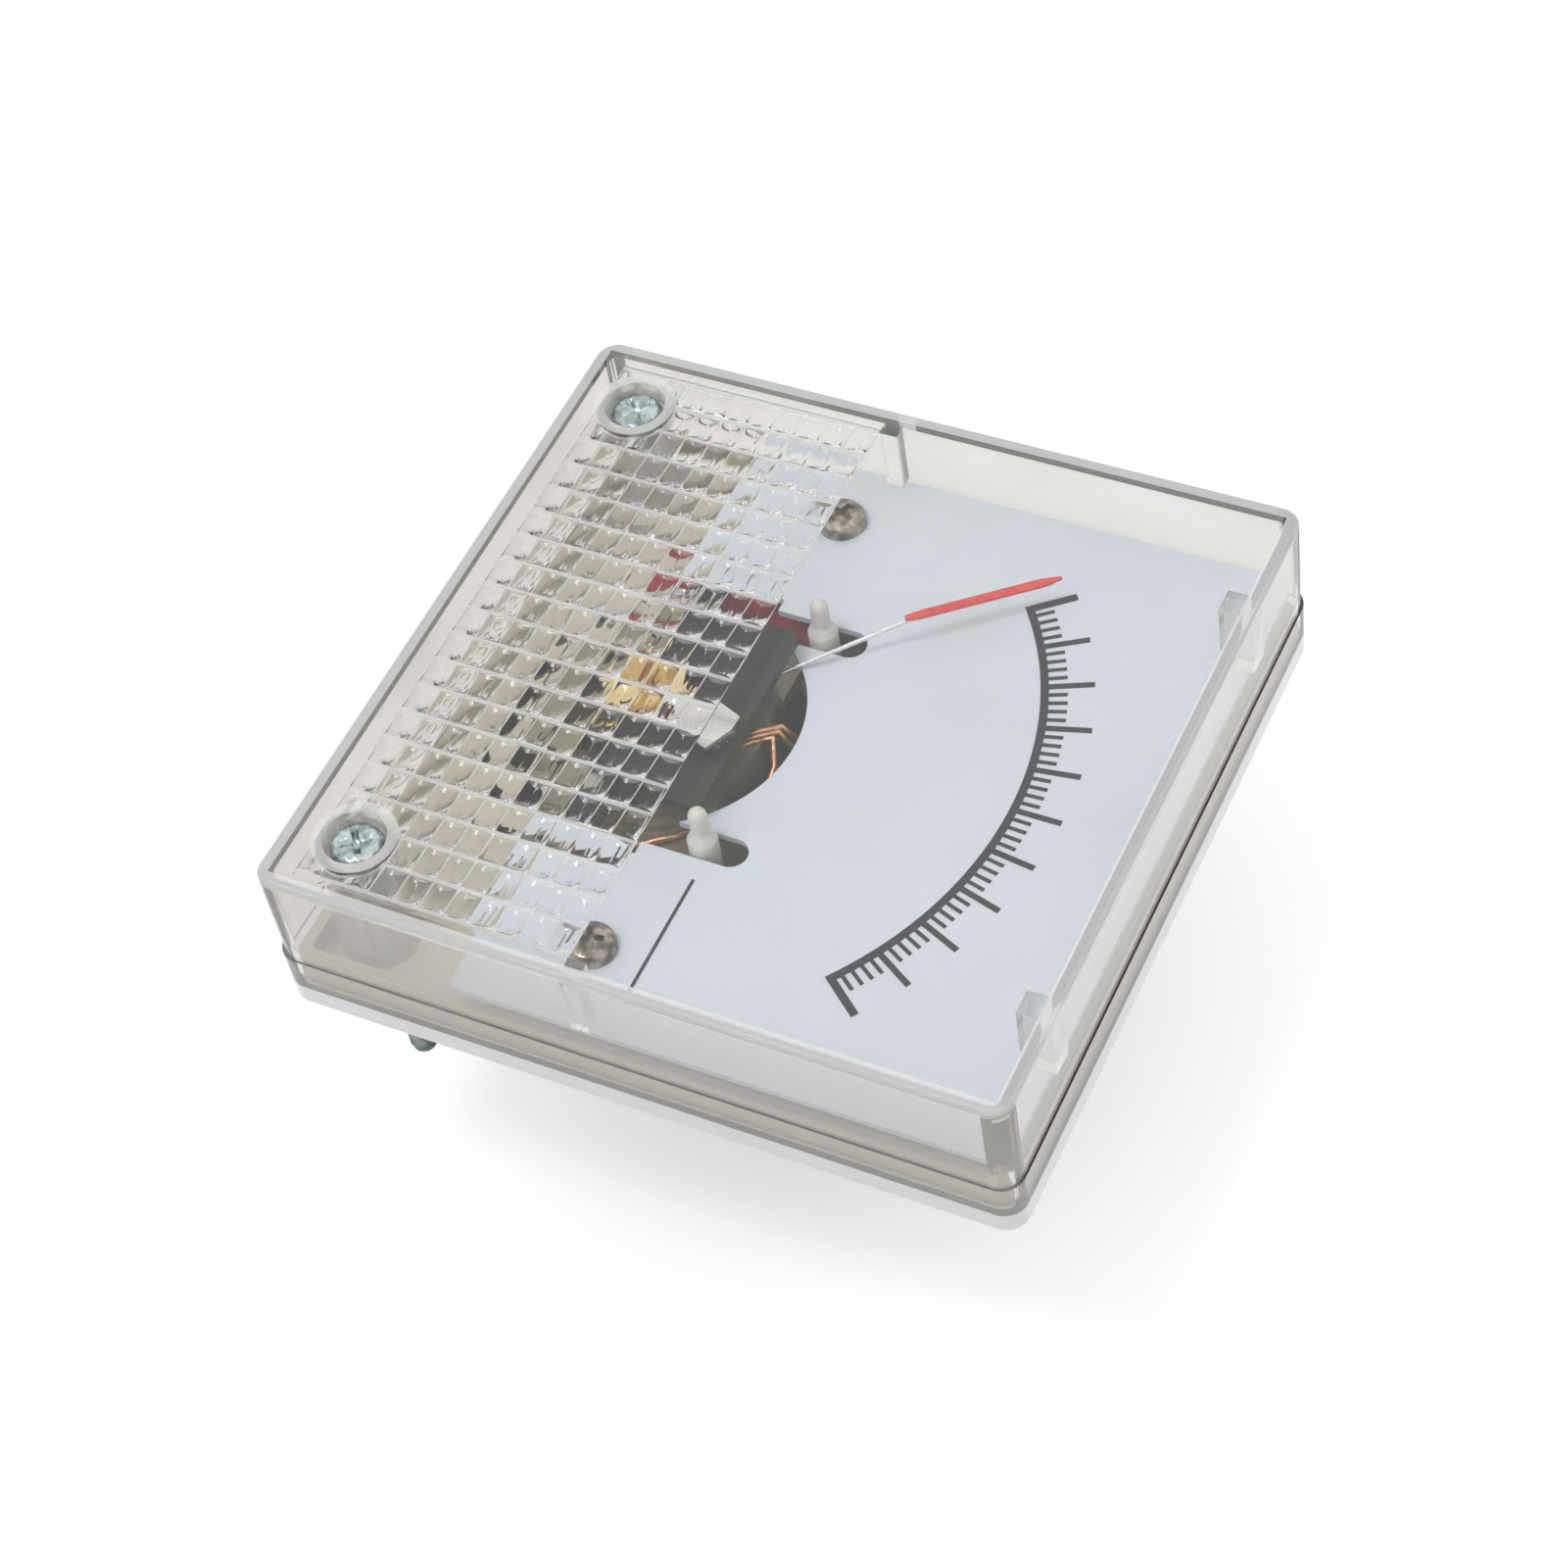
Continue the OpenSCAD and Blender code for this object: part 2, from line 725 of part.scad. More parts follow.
// The silver lever on the disc, with its end bent down.
module zero_tab() {
  z = disc_z + disc_t;
  color("gainsboro") at_face()
    at_pivot()
      rotate([0, 0, tab_angle]) {
        translate([0, 0, z])
          linear_extrude(0.5)
            polygon([[-1.2, 3], [1.2, 3], [1.4, 6.6], [2.6, 7.6], [2.6, 11.6],
                     [-0.9, 11.9], [-2.6, 11.3], [-2.6, 7.6], [-1.4, 6.6]]);
        translate([-1.5, 11.1, z - 1.2]) cube([3, 0.5, 1.2 + e]);
      }
}

// ---------- moving parts ----------

// Turns a child from the dial's centre line to the pointer's rest.
module at_rest() {
  translate([0, pivot_y, 0]) rotate([0, 0, zero_angle]) children();
}

// A rectangular frame standing in the XZ plane.
module frame_xz(w, z0, z1, t, d) {
  difference() {
    translate([-w / 2 - t, -d / 2, z0 - t]) cube([w + 2 * t, d, z1 - z0 + 2 * t]);
    translate([-w / 2, -d, z0]) cube([w, 2 * d, z1 - z0]);
  }
}

module coil_former() {
  color("silver") at_face()
    at_rest() frame_xz(coil_in_w, coil_in_low, coil_in_top, former_t, coil_y);
}

module coil_winding() {
  color("chocolate") at_face()
    at_rest()
      frame_xz(coil_in_w + 2 * former_t, coil_in_low - former_t, coil_in_top + former_t,
               winding_t, coil_y - 0.6);
}

// Half staffs on the coil's ends with their fine pivots.
module pivot_staffs() {
  top = coil_in_top + former_t + winding_t;
  low = coil_in_low - former_t - winding_t;
  color("lightgray") at_face()
    at_rest() {
      translate([0, 0, top]) cylinder(r = 0.55, h = bridge_z - 0.5 - top);
      translate([0, 0, bridge_z - 0.5]) cylinder(r = 0.3, h = 1);
      translate([0, 0, bridge_low + bridge_t + 0.5])
        cylinder(r = 0.55, h = low - bridge_low - bridge_t - 0.5);
      translate([0, 0, bridge_low + bridge_t - 0.5]) cylinder(r = 0.3, h = 1);
    }
}

// Points of a flat spiral from radius r0 to r1 over n turns.
function spiral(r0, r1, n, sides) =
  [for (i = [0 : n * sides])
     let (a = i * 360 / sides, r = r0 + (r1 - r0) * i / (n * sides))
       [r * cos(a), r * sin(a)]];

// A flat spiral ribbon of width w and height h.
module hairspring(h) {
  w = 0.14;
  inner = spiral(1.1 - w / 2, 3 - w / 2, 3, 24);
  outer = spiral(1.1 + w / 2, 3 + w / 2, 3, 24);
  n = len(inner) - 1;
  linear_extrude(h)
    polygon(concat(outer, [for (i = [n : -1 : 0]) inner[i]]));
  ring(1.1, 0.55, 0, h);
}

module upper_hairspring() {
  color("peru") at_face()
    translate([0, pivot_y, 10.5]) hairspring(0.4);
}

module lower_hairspring() {
  color("peru") at_face()
    translate([0, pivot_y, bridge_low + 1.7]) hairspring(0.4);
}

// Hub with three short threaded arms for the balance nuts.
module pointer_hub() {
  color("silver") at_face()
    at_rest()
      difference() {
        union() {
          translate([0, 0, 9.2]) cylinder(r = 1.3, h = 1.2);
          for (a = [90, 180, 270])
            rod([-sin(a), cos(a), arm_z], [-6.4 * sin(a), 6.4 * cos(a), arm_z], 0.22);
        }
        translate([0, 0, 8]) cylinder(r = 0.55, h = 4);
      }
}

module balance_nuts() {
  color("gold") at_face()
    at_rest()
      for (a = [90, 180, 270])
        rotate([0, 0, a])
          translate([0, a == 180 ? 5.6 : 4.2, arm_z])
            rotate([90, 0, 0])
              difference() {
                cylinder(r = 0.6, h = 1.2, center = true);
                cylinder(r = 0.22, h = 3, center = true);
              }
}

module pointer_arm() {
  color("white") at_face()
    at_rest()
      wire([[0, 1.25, arm_z], [0, arm_r1, arm_z + 0.15], [0, arm_r2, pointer_z - 0.1],
            [0, pointer_len - 1, pointer_z]], arm_d / 2);
}

// Flat red sleeve on the outer part of the arm, cut to a point.
module pointer_tip() {
  l = red_len;
  w = red_w / 2;
  color("red") at_face()
    at_rest()
      translate([0, pointer_len - l, pointer_z + arm_d / 2 - 0.02])
        linear_extrude(0.3)
          polygon([[-w * 0.6, 0], [w * 0.6, 0], [w, 1.6], [w, l - 2], [0.15, l],
                   [-0.15, l], [-w, l - 2], [-w, 1.6]]);
}

// ---------- fittings round the movement ----------

module red_insulator() {
  color("firebrick") at_face()
    difference() {
      translate([strip_x - strip_w, peg_y - 2.8 - strip_l, carrier_z])
        cube([strip_w, strip_l, 0.9]);
      translate([-carrier_fix_x, carrier_fix_y[1], 0]) cylinder(r = 2.1, h = 20);
    }
}

// A small bobbin for the series winding, standing on the carrier plate.
module range_spool() {
  top = spool_z + spool_h;
  color("saddlebrown") at_face()
    translate([spool_x, spool_y, 0]) {
      ring(spool_r, 0.7, spool_z, spool_z + 0.5);
      ring(1.1, 0.7, spool_z + 0.5, top - 0.5);
      ring(spool_r, 0.7, top - 0.5, top);
    }
}

module range_winding() {
  color("peru") at_face()
    translate([spool_x, spool_y, 0])
      ring(spool_r - 0.25, 1.1, spool_z + 0.5, spool_z + spool_h - 0.5);
}

// Copper leads across the ring: two go down to the terminal studs, one to the spool.
module lead_wires() {
  color("chocolate") at_face()
    at_pivot()
      for (route = lead_routes)
        wire(route, lead_r, [0.8, -0.5, 0.4]);
}

// ---------- terminals ----------

// A child placed on the axis of each terminal.
module at_terminals() {
  for (s = [-1, 1])
    translate([s * terminal_pitch / 2, barrel_y, 0]) children();
}

module terminal_studs() {
  color("gold") at_face()
    at_terminals() {
      translate([0, 0, -nut2_z]) cylinder(d = terminal_pd, h = nut2_z - barrel_len + barrel_wall);
      translate([0, 0, thread_c - terminal_z])
        cylinder(d = terminal_d, h = terminal_z - nut2_z - thread_c);
      translate([0, 0, -terminal_z])
        cylinder(d1 = terminal_d - 2 * thread_c, d2 = terminal_d, h = thread_c);
      translate([0, 0, barrel_wall - barrel_len])
        cylinder(r = 0.9 * terminal_d, h = stud_head_h, $fn = 6);
    }
}

module terminal_nuts() {
  module nut() {
    difference() {
      cylinder(r = terminal_d, h = hex_h, $fn = 6);
      translate([0, 0, -1]) cylinder(d = terminal_pd + 0.04, h = hex_h + 2);
    }
  }
  color("gold") at_face()
    at_terminals() {
      translate([0, 0, -nut1_z]) nut();
      translate([0, 0, -nut2_z]) nut();
    }
}

module terminal_washers() {
  color("silver") at_face()
    at_terminals() {
      ring(4.5, terminal_d / 2 + 0.1, -barrel_len - washer_t, -barrel_len);
      ring(4.5, terminal_d / 2 + 0.1, -nut1_z - washer_t, -nut1_z);
    }
}

// Tinned lugs between the first washer and the first nut.
module solder_lugs() {
  z = -barrel_len - washer_t - lug_t;
  color("lightgray") at_face()
    at_terminals()
      difference() {
        union() {
          translate([0, 0, z]) cylinder(r = 4, h = lug_t);
          translate([-1.6, 0, z]) cube([3.2, 11, lug_t]);
          translate([0, 11, z]) cylinder(r = 1.6, h = lug_t);
        }
        translate([0, 0, z - 1]) cylinder(d = terminal_d + 0.2, h = 3);
        translate([0, 11, z - 1]) cylinder(r = 0.8, h = 3);
      }
}

front_cover();
base_flange();
base_tray();
barrel_cup();
dial_plate();
scale_marks();
caption_line();
dial_screws();
mounting_screws();
stop_pegs();
carrier_plate();
carrier_screws();
yoke_ring();
magnet_core();
core_supports();
bridge_pillars();
upper_bridge();
lower_bridge();
bridge_screws();
upper_jewel_screw();
lower_jewel_screw();
jewel_lock_nuts();
zero_disc();
zero_tab();
coil_former();
coil_winding();
pivot_staffs();
upper_hairspring();
lower_hairspring();
pointer_hub();
pointer_arm();
pointer_tip();
balance_nuts();
red_insulator();
range_spool();
range_winding();
lead_wires();
terminal_studs();
terminal_nuts();
terminal_washers();
solder_lugs();
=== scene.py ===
"""Analog panel meter: finishes, fine detail, studio and camera around the fixed CAD frame."""

from __future__ import annotations

import logging
import math
from dataclasses import dataclass, replace
from enum import Enum

import bpy
from mathutils import Matrix, Vector

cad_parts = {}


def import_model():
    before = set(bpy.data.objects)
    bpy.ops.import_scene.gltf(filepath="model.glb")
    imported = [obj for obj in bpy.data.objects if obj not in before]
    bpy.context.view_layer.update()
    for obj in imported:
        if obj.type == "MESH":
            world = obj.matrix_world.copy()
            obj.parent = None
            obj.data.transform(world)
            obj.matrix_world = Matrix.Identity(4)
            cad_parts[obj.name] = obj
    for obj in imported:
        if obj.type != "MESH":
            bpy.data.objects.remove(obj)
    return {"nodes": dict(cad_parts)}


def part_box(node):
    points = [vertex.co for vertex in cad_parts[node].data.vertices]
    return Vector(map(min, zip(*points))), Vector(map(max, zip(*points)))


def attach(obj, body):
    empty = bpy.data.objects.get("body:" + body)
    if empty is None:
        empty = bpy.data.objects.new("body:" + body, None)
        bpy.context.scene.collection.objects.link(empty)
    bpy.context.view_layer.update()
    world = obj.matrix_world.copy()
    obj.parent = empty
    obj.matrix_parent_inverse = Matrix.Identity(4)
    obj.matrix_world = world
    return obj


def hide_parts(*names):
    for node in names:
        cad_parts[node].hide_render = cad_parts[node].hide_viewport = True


LOG = logging.getLogger("panel_meter")
MM = 0.001
FLOOR_GAP = 0.1 * MM  # between the lowest piece and the studio's floor
MERGE_DISTANCE = 0.002 * MM  # corners this close become one
WHITE = (1.0, 1.0, 1.0, 1.0)
Colour = tuple[float, float, float]
Point = tuple[float, float, float]
Span = tuple[float, float]


# ---------------------------------------------------------------- shader nodes


def set_inputs(node: bpy.types.Node, values: dict[str, object]) -> None:
    """Set some of a node's inputs.

    Args:
        node: The node.
        values: The new values by the inputs' names.
    """
    for name, value in values.items():
        node.inputs[name].default_value = value


@dataclass(frozen=True)
class NodeMaths:
    """Adds the nodes of a calculation to one node tree."""

    tree: bpy.types.NodeTree

    def join(self, operation: str, first: bpy.types.NodeSocket,
             second: bpy.types.NodeSocket | float = 0.0,
             third: float = 0.0) -> bpy.types.NodeSocket:
        """Join a value with another value or with constants.

        Args:
            operation: The Math node's operation.
            first: The first value.
            second: The second value or a constant, where the operation has one.
            third: The third constant, where the operation has one.

        Returns:
            The socket with the result.
        """
        step = self.tree.nodes.new("ShaderNodeMath")
        step.operation = operation
        step.inputs[2].default_value = third
        self.tree.links.new(first, step.inputs[0])
        if isinstance(second, float):
            step.inputs[1].default_value = second
        else:
            self.tree.links.new(second, step.inputs[1])
        return step.outputs["Value"]

    def between(self, value: bpy.types.NodeSocket, low: float,
                high: float) -> bpy.types.NodeSocket:
        """Give 1 where a value lies between two limits.

        Args:
            value: The value that is tested.
            low: The lower limit.
            high: The upper limit.

        Returns:
            The socket with the result.
        """
        above = self.join("GREATER_THAN", value, low)
        below = self.join("LESS_THAN", value, high)
        return self.join("MULTIPLY", above, below)

    def split(self, vector: bpy.types.NodeSocket) -> bpy.types.Node:
        """Split a vector.

        Args:
            vector: The vector that is split.

        Returns:
            The node that has its X, Y and Z as outputs.
        """
        parts = self.tree.nodes.new("ShaderNodeSeparateXYZ")
        self.tree.links.new(vector, parts.inputs["Vector"])
        return parts


# ---------------------------------------------------------------- finishes


class Grain(Enum):
    """How a finish's fine variation lies on the piece, as a stretch along X, Y and Z."""

    EVEN = (1.0, 1.0, 1.0)
    TURNED = (1.0, 1.0, 9.0)
    DRAWN = (0.12, 1.0, 1.0)
    ROLLED = (1.0, 0.1, 1.0)


@dataclass(frozen=True)
class Finish:
    """One surface finish: a main shader with mottled colour, uneven gloss and a fine relief.

    The two colours are mixed by a broad noise. The gloss and the relief follow a finer one.
    Both noises read Object coordinates, so they stay on the piece as it moves. A span is the
    stretch of its noise over which the colour or the gloss changes.
    """

    name: str
    colour: Colour
    second: Colour
    rough: Span = (0.35, 0.5)
    metallic: float = 0.0
    transmission: float = 0.0
    ior: float = 1.5
    coat: float = 0.0
    subsurface: float = 0.0
    scatter_mm: float = 1.5
    gloss: float = 0.5
    patch_mm: float = 4.0
    patch_span: Span = (0.35, 0.65)
    patch_detail: float = 3.0
    grain_mm: float = 0.5
    grain_span: Span = (0.3, 0.7)
    grain_detail: float = 4.0
    relief: float = 0.15
    relief_mm: float = 0.05
    grain: Grain = Grain.EVEN

    def put_on(self, piece: bpy.types.Object) -> None:
        """Make this finish the only one on a piece.

        Args:
            piece: The piece.
        """
        piece.data.materials.clear()
        piece.data.materials.append(self.material())
        for face in piece.data.polygons:
            face.material_index = 0

    def material(self) -> bpy.types.Material:
        """Make the material, or find it if an earlier piece has made it.

        Returns:
            The node material of this finish.
        """
        found = bpy.data.materials.get(self.name)
        if found is not None:
            return found
        made = bpy.data.materials.new(self.name)
        made.use_nodes = True
        tree = made.node_tree
        shader = tree.nodes["Principled BSDF"]
        set_inputs(shader, {
            "Metallic": self.metallic, "IOR": self.ior, "Coat Weight": self.coat,
            "Transmission Weight": self.transmission, "Specular IOR Level": self.gloss,
            "Subsurface Weight": self.subsurface, "Subsurface Scale": self.scatter_mm * MM})
        source = tree.nodes.new("ShaderNodeTexCoord")
        place = tree.nodes.new("ShaderNodeMapping")
        set_inputs(place, {"Scale": self.grain.value})
        tree.links.new(source.outputs["Object"], place.inputs["Vector"])
        colour = self._mottle(tree, place)
        tree.links.new(colour.outputs["Result"], shader.inputs["Base Color"])
        fine = self._noise(tree, place, self.grain_mm, self.grain_detail)
        rough = self._spread(tree, fine, self.grain_span, self.rough)
        tree.links.new(rough.outputs["Result"], shader.inputs["Roughness"])
        bump = tree.nodes.new("ShaderNodeBump")
        set_inputs(bump, {"Strength": self.relief, "Distance": self.relief_mm * MM})
        tree.links.new(fine.outputs["Fac"], bump.inputs["Height"])
        tree.links.new(bump.outputs["Normal"], shader.inputs["Normal"])
        self.extend(tree, shader, place, colour)
        return made

    def extend(self, tree: bpy.types.NodeTree, shader: bpy.types.Node, place: bpy.types.Node,
               colour: bpy.types.Node) -> None:
        """Add a finish's own detail. The plain finish has none.

        Args:
            tree: The material's nodes.
            shader: Its main shader.
            place: The node that gives coordinates.
            colour: The node that gives the mottled colour.
        """

    def _mottle(self, tree: bpy.types.NodeTree, place: bpy.types.Node) -> bpy.types.Node:
        """Mix the two colours by the broad noise.

        Args:
            tree: The material's nodes.
            place: The node that gives coordinates.

        Returns:
            The node that gives the mottled colour.
        """
        patches = self._noise(tree, place, self.patch_mm, self.patch_detail)
        spread = self._spread(tree, patches, self.patch_span, (0.0, 1.0))
        mix = tree.nodes.new("ShaderNodeMix")
        mix.data_type = "RGBA"
        set_inputs(mix, {"A": (*self.colour, 1.0), "B": (*self.second, 1.0)})
        tree.links.new(spread.outputs["Result"], mix.inputs["Factor"])
        return mix

    @staticmethod
    def _tint(tree: bpy.types.NodeTree, shader: bpy.types.Node, colour: bpy.types.Node,
              tint: Colour, where: bpy.types.NodeSocket) -> None:
        """Multiply the mottled colour by a tint on part of the piece, which paints shade there.

        Args:
            tree: The material's nodes.
            shader: Its main shader.
            colour: The node that gives the mottled colour.
            tint: The tint.
            where: The value that is 1 where the tint lies.
        """
        mix = tree.nodes.new("ShaderNodeMix")
        mix.data_type = "RGBA"
        mix.blend_type = "MULTIPLY"
        set_inputs(mix, {"B": (*tint, 1.0)})
        tree.links.new(where, mix.inputs["Factor"])
        tree.links.new(colour.outputs["Result"], mix.inputs["A"])
        tree.links.new(mix.outputs["Result"], shader.inputs["Base Color"])

    @staticmethod
    def _noise(tree: bpy.types.NodeTree, place: bpy.types.Node, size_mm: float,
               detail: float) -> bpy.types.Node:
        """Add a noise whose patches are size_mm across.

        Args:
            tree: The material's nodes.
            place: The node that gives coordinates.
            size_mm: The patch size in millimetres.
            detail: How many finer layers it has.

        Returns:
            The noise node.
        """
        noise = tree.nodes.new("ShaderNodeTexNoise")
        set_inputs(noise, {"Scale": 1.0 / (size_mm * MM), "Detail": detail})
        tree.links.new(place.outputs["Vector"], noise.inputs["Vector"])
        return noise

    @staticmethod
    def _spread(tree: bpy.types.NodeTree, noise: bpy.types.Node, span: Span,
                result: Span) -> bpy.types.Node:
        """Spread a noise's middle range over the given range.

        Args:
            tree: The material's nodes.
            noise: The noise that is read.
            span: The noise values that give the lowest and the highest result.
            result: The lowest and the highest result.

        Returns:
            The range node.
        """
        spread = tree.nodes.new("ShaderNodeMapRange")
        set_inputs(spread, {"From Min": span[0], "From Max": span[1],
                            "To Min": result[0], "To Max": result[1]})
        tree.links.new(noise.outputs["Fac"], spread.inputs["Value"])
        return spread


@dataclass(frozen=True)
class WindowFinish(Finish):
    """A clear moulding: milky walls, painted light on its border, wells and grooves.

    Its zones are told by the place of a face and by how its own unit normal leans. Heights
    are taken from the window's underside, and each whitening value is a share of clearness
    lost: haze in the walls, painted highlights on the border, round the wells and on the
    grooves. The walls also get a painted shade tint.
    """

    under_mm: float = 0.0
    thick_mm: float = 1.6
    wall_mm: float = 1.75
    wall_lean: float = 0.3
    wall_white: float = 0.18
    # painted shade: the walls' colour is darkened a little
    wall_painted_shade: Colour = (0.90, 0.885, 0.87)
    rim_above_mm: float = 0.7
    rim_lean: float = 0.95
    # painted light: the border over the walls and its bevels are whitened
    rim_painted_light: float = 0.55
    cavity_half_mm: Span = (0.0, 0.0)
    centre_y_mm: float = 0.0
    relief_low_mm: float = -0.02
    relief_high_mm: float = 0.5
    # painted highlights: the groove lines, and one flank of each groove
    line_painted_highlight: float = 0.75
    flank_painted_highlight: float = 0.22
    groove_slope: float = 0.3
    valley_slope: float = 0.44
    steepest: float = 0.9
    apex_mm: float = 0.31
    well_mm: Span = (0.0, 0.0)
    well_r_mm: float = 4.5
    # painted highlight: a whitened ring round each screw well
    well_painted_highlight: float = 0.5

    def placed(self, cover: str, screws: str) -> WindowFinish:
        """Place the finish's zones from the frame.

        Args:
            cover: The node of the cover.
            screws: The node of the screws that sit in its wells.

        Returns:
            The same finish with its zones where the cover and the screws are.
        """
        low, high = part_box(cover)
        screw_low, screw_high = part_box(screws)
        head_r = (screw_high.y - screw_low.y) / 2
        return replace(
            self, under_mm=high.z / MM - self.thick_mm,
            cavity_half_mm=((high.x - low.x) / 2 / MM - self.wall_mm,
                            (high.y - low.y) / 2 / MM - self.wall_mm),
            centre_y_mm=(high.y + low.y) / 2 / MM,
            well_mm=((screw_high.x - head_r) / MM, (screw_high.y + screw_low.y) / 2 / MM))

    def extend(self, tree: bpy.types.NodeTree, shader: bpy.types.Node, place: bpy.types.Node,
               colour: bpy.types.Node) -> None:
        """Whiten the zones (wall haze; painted highlights elsewhere) and paint shade on the
        walls.

        Args:
            tree: The material's nodes.
            shader: Its main shader.
            place: The node that gives coordinates.
            colour: The node that gives the mottled colour.
        """
        maths = NodeMaths(tree)
        spot = maths.split(place.outputs["Vector"])
        lean = maths.split(self._outward(maths))
        rise = maths.join("ABSOLUTE", lean.outputs["Z"])
        wall = maths.join("LESS_THAN", rise, self.wall_lean)
        loss = maths.join("MULTIPLY", wall, self.wall_white)
        # the groove, border and well shares are painted highlights; the wall share is haze
        for other in (self._painted_groove_highlight(maths, spot, lean), self._painted_border_light(maths, spot, rise),
                      self._painted_well_highlight(maths, spot)):
            loss = maths.join("MAXIMUM", loss, other)
        clear = maths.join("MULTIPLY_ADD", loss, -1.0, 1.0)
        tree.links.new(clear, shader.inputs["Transmission Weight"])
        # painted shade on the walls
        self._tint(tree, shader, colour, self.wall_painted_shade, wall)

    def _height(self, above_mm: float) -> float:
        """Give the height in metres of what lies above_mm over the window's underside."""
        return (self.under_mm + above_mm) * MM

    @staticmethod
    def _outward(maths: NodeMaths) -> bpy.types.NodeSocket:
        """Give a face's own normal, the same from both of its sides.

        Args:
            maths: Adds to the material's nodes.

        Returns:
            The socket with the normal.
        """
        surface = maths.tree.nodes.new("ShaderNodeNewGeometry")
        side = maths.join("MULTIPLY_ADD", surface.outputs["Backfacing"], -2.0, 1.0)
        outward = maths.tree.nodes.new("ShaderNodeVectorMath")
        outward.operation = "SCALE"
        maths.tree.links.new(surface.outputs["True Normal"], outward.inputs[0])
        maths.tree.links.new(side, outward.inputs["Scale"])
        return outward.outputs["Vector"]

    def _painted_groove_highlight(self, maths: NodeMaths, spot: bpy.types.Node,
                     lean: bpy.types.Node) -> bpy.types.NodeSocket:
        """Give the painted highlights on the sloping faces of the prisms' grooves.

        Args:
            maths: Adds to the material's nodes.
            spot: The node that gives the place.
            lean: The node that gives the parts of the face's normal.

        Returns:
            The socket with the loss of clearness.
        """
        slope_x = maths.join("ABSOLUTE", lean.outputs["X"])
        slope_y = maths.join("ABSOLUTE", lean.outputs["Y"])
        over_apex = maths.join("GREATER_THAN", spot.outputs["Z"], self._height(self.apex_mm))
        across = maths.join("MULTIPLY", over_apex,
                            maths.between(slope_x, self.groove_slope, self.steepest))
        along = maths.between(slope_y, self.valley_slope, self.steepest)
        flank = maths.between(lean.outputs["X"], -self.steepest, -self.groove_slope)
        level = maths.between(spot.outputs["Z"], self._height(self.relief_low_mm),
                              self._height(self.relief_high_mm))
        # painted highlights on the groove lines and on the flanks that lean towards -X
        lines = maths.join("MULTIPLY", maths.join("MAXIMUM", across, along), level)
        flanks = maths.join("MULTIPLY", flank, level)
        return maths.join("MAXIMUM", maths.join("MULTIPLY", lines, self.line_painted_highlight),
                          maths.join("MULTIPLY", flanks, self.flank_painted_highlight))

    def _painted_border_light(self, maths: NodeMaths, spot: bpy.types.Node,
                  rise: bpy.types.NodeSocket) -> bpy.types.NodeSocket:
        """Give the painted light on the window's border over the walls and on its bevels.

        Args:
            maths: Adds to the material's nodes.
            spot: The node that gives the place.
            rise: The upright part of the face's normal, without its sign.

        Returns:
            The socket with the loss of clearness.
        """
        top = maths.join("GREATER_THAN", spot.outputs["Z"], self._height(self.rim_above_mm))
        edge = maths.join("LESS_THAN", rise, self.rim_lean)
        middle = (0.0, self.centre_y_mm)
        for axis, centre, half in zip("XY", middle, self.cavity_half_mm):
            away = maths.join("ABSOLUTE",
                              maths.join("SUBTRACT", spot.outputs[axis], centre * MM))
            over_wall = maths.join("GREATER_THAN", away, half * MM)
            edge = maths.join("MAXIMUM", edge, over_wall)
        return maths.join("MULTIPLY", maths.join("MULTIPLY", top, edge), self.rim_painted_light)

    def _painted_well_highlight(self, maths: NodeMaths, spot: bpy.types.Node) -> bpy.types.NodeSocket:
        """Give the painted highlight on the moulding round the two screw wells.

        Args:
            maths: Adds to the material's nodes.
            spot: The node that gives the place.

        Returns:
            The socket with the loss of clearness.
        """
        links = maths.tree.links
        flat = maths.tree.nodes.new("ShaderNodeCombineXYZ")
        links.new(maths.join("ABSOLUTE", spot.outputs["X"]), flat.inputs["X"])
        links.new(spot.outputs["Y"], flat.inputs["Y"])
        away = maths.tree.nodes.new("ShaderNodeVectorMath")
        away.operation = "DISTANCE"
        away.inputs[1].default_value = (self.well_mm[0] * MM, self.well_mm[1] * MM, 0.0)
        links.new(flat.outputs["Vector"], away.inputs[0])
        near = maths.join("LESS_THAN", away.outputs["Value"], self.well_r_mm * MM)
        return maths.join("MULTIPLY", near, self.well_painted_highlight)


@dataclass(frozen=True)
class ShadedShankFinish(Finish):
    """A plated finish with painted shade below the part's own zero height."""

    # painted shade on the shank below zero height
    shank_painted_shade: Colour = (0.5, 0.49, 0.47)

    def extend(self, tree: bpy.types.NodeTree, shader: bpy.types.Node, place: bpy.types.Node,
               colour: bpy.types.Node) -> None:
        """Paint shade on the shank.

        Args:
            tree: The material's nodes.
            shader: Its main shader.
            place: The node that gives coordinates.
            colour: The node that gives the mottled colour.
        """
        maths = NodeMaths(tree)
        spot = maths.split(place.outputs["Vector"])
        below = maths.join("LESS_THAN", spot.outputs["Z"], 0.0)
        # painted shade below zero height
        self._tint(tree, shader, colour, self.shank_painted_shade, below)


CLEAR_MOULDING = WindowFinish("clear_moulding", (0.985, 0.983, 0.978), (0.965, 0.96, 0.95),
                              rough=(0.01, 0.04), transmission=1.0, ior=1.49, gloss=0.2,
                              patch_mm=14.0, grain_mm=5.0, relief=0.03, relief_mm=0.01)
CLEAR_BASE = Finish("clear_base_moulding", (0.96, 0.955, 0.945), (0.92, 0.912, 0.89),
                    rough=(0.08, 0.22), transmission=0.22, ior=1.49, coat=0.6, patch_mm=6.0,
                    grain_mm=0.7, relief=0.14, relief_mm=0.05)
CREAM_TRAY = Finish("cream_tray_moulding", (0.67, 0.63, 0.525), (0.62, 0.58, 0.475),
                    rough=(0.35, 0.55), patch_mm=9.0, grain_mm=0.8, relief=0.12)
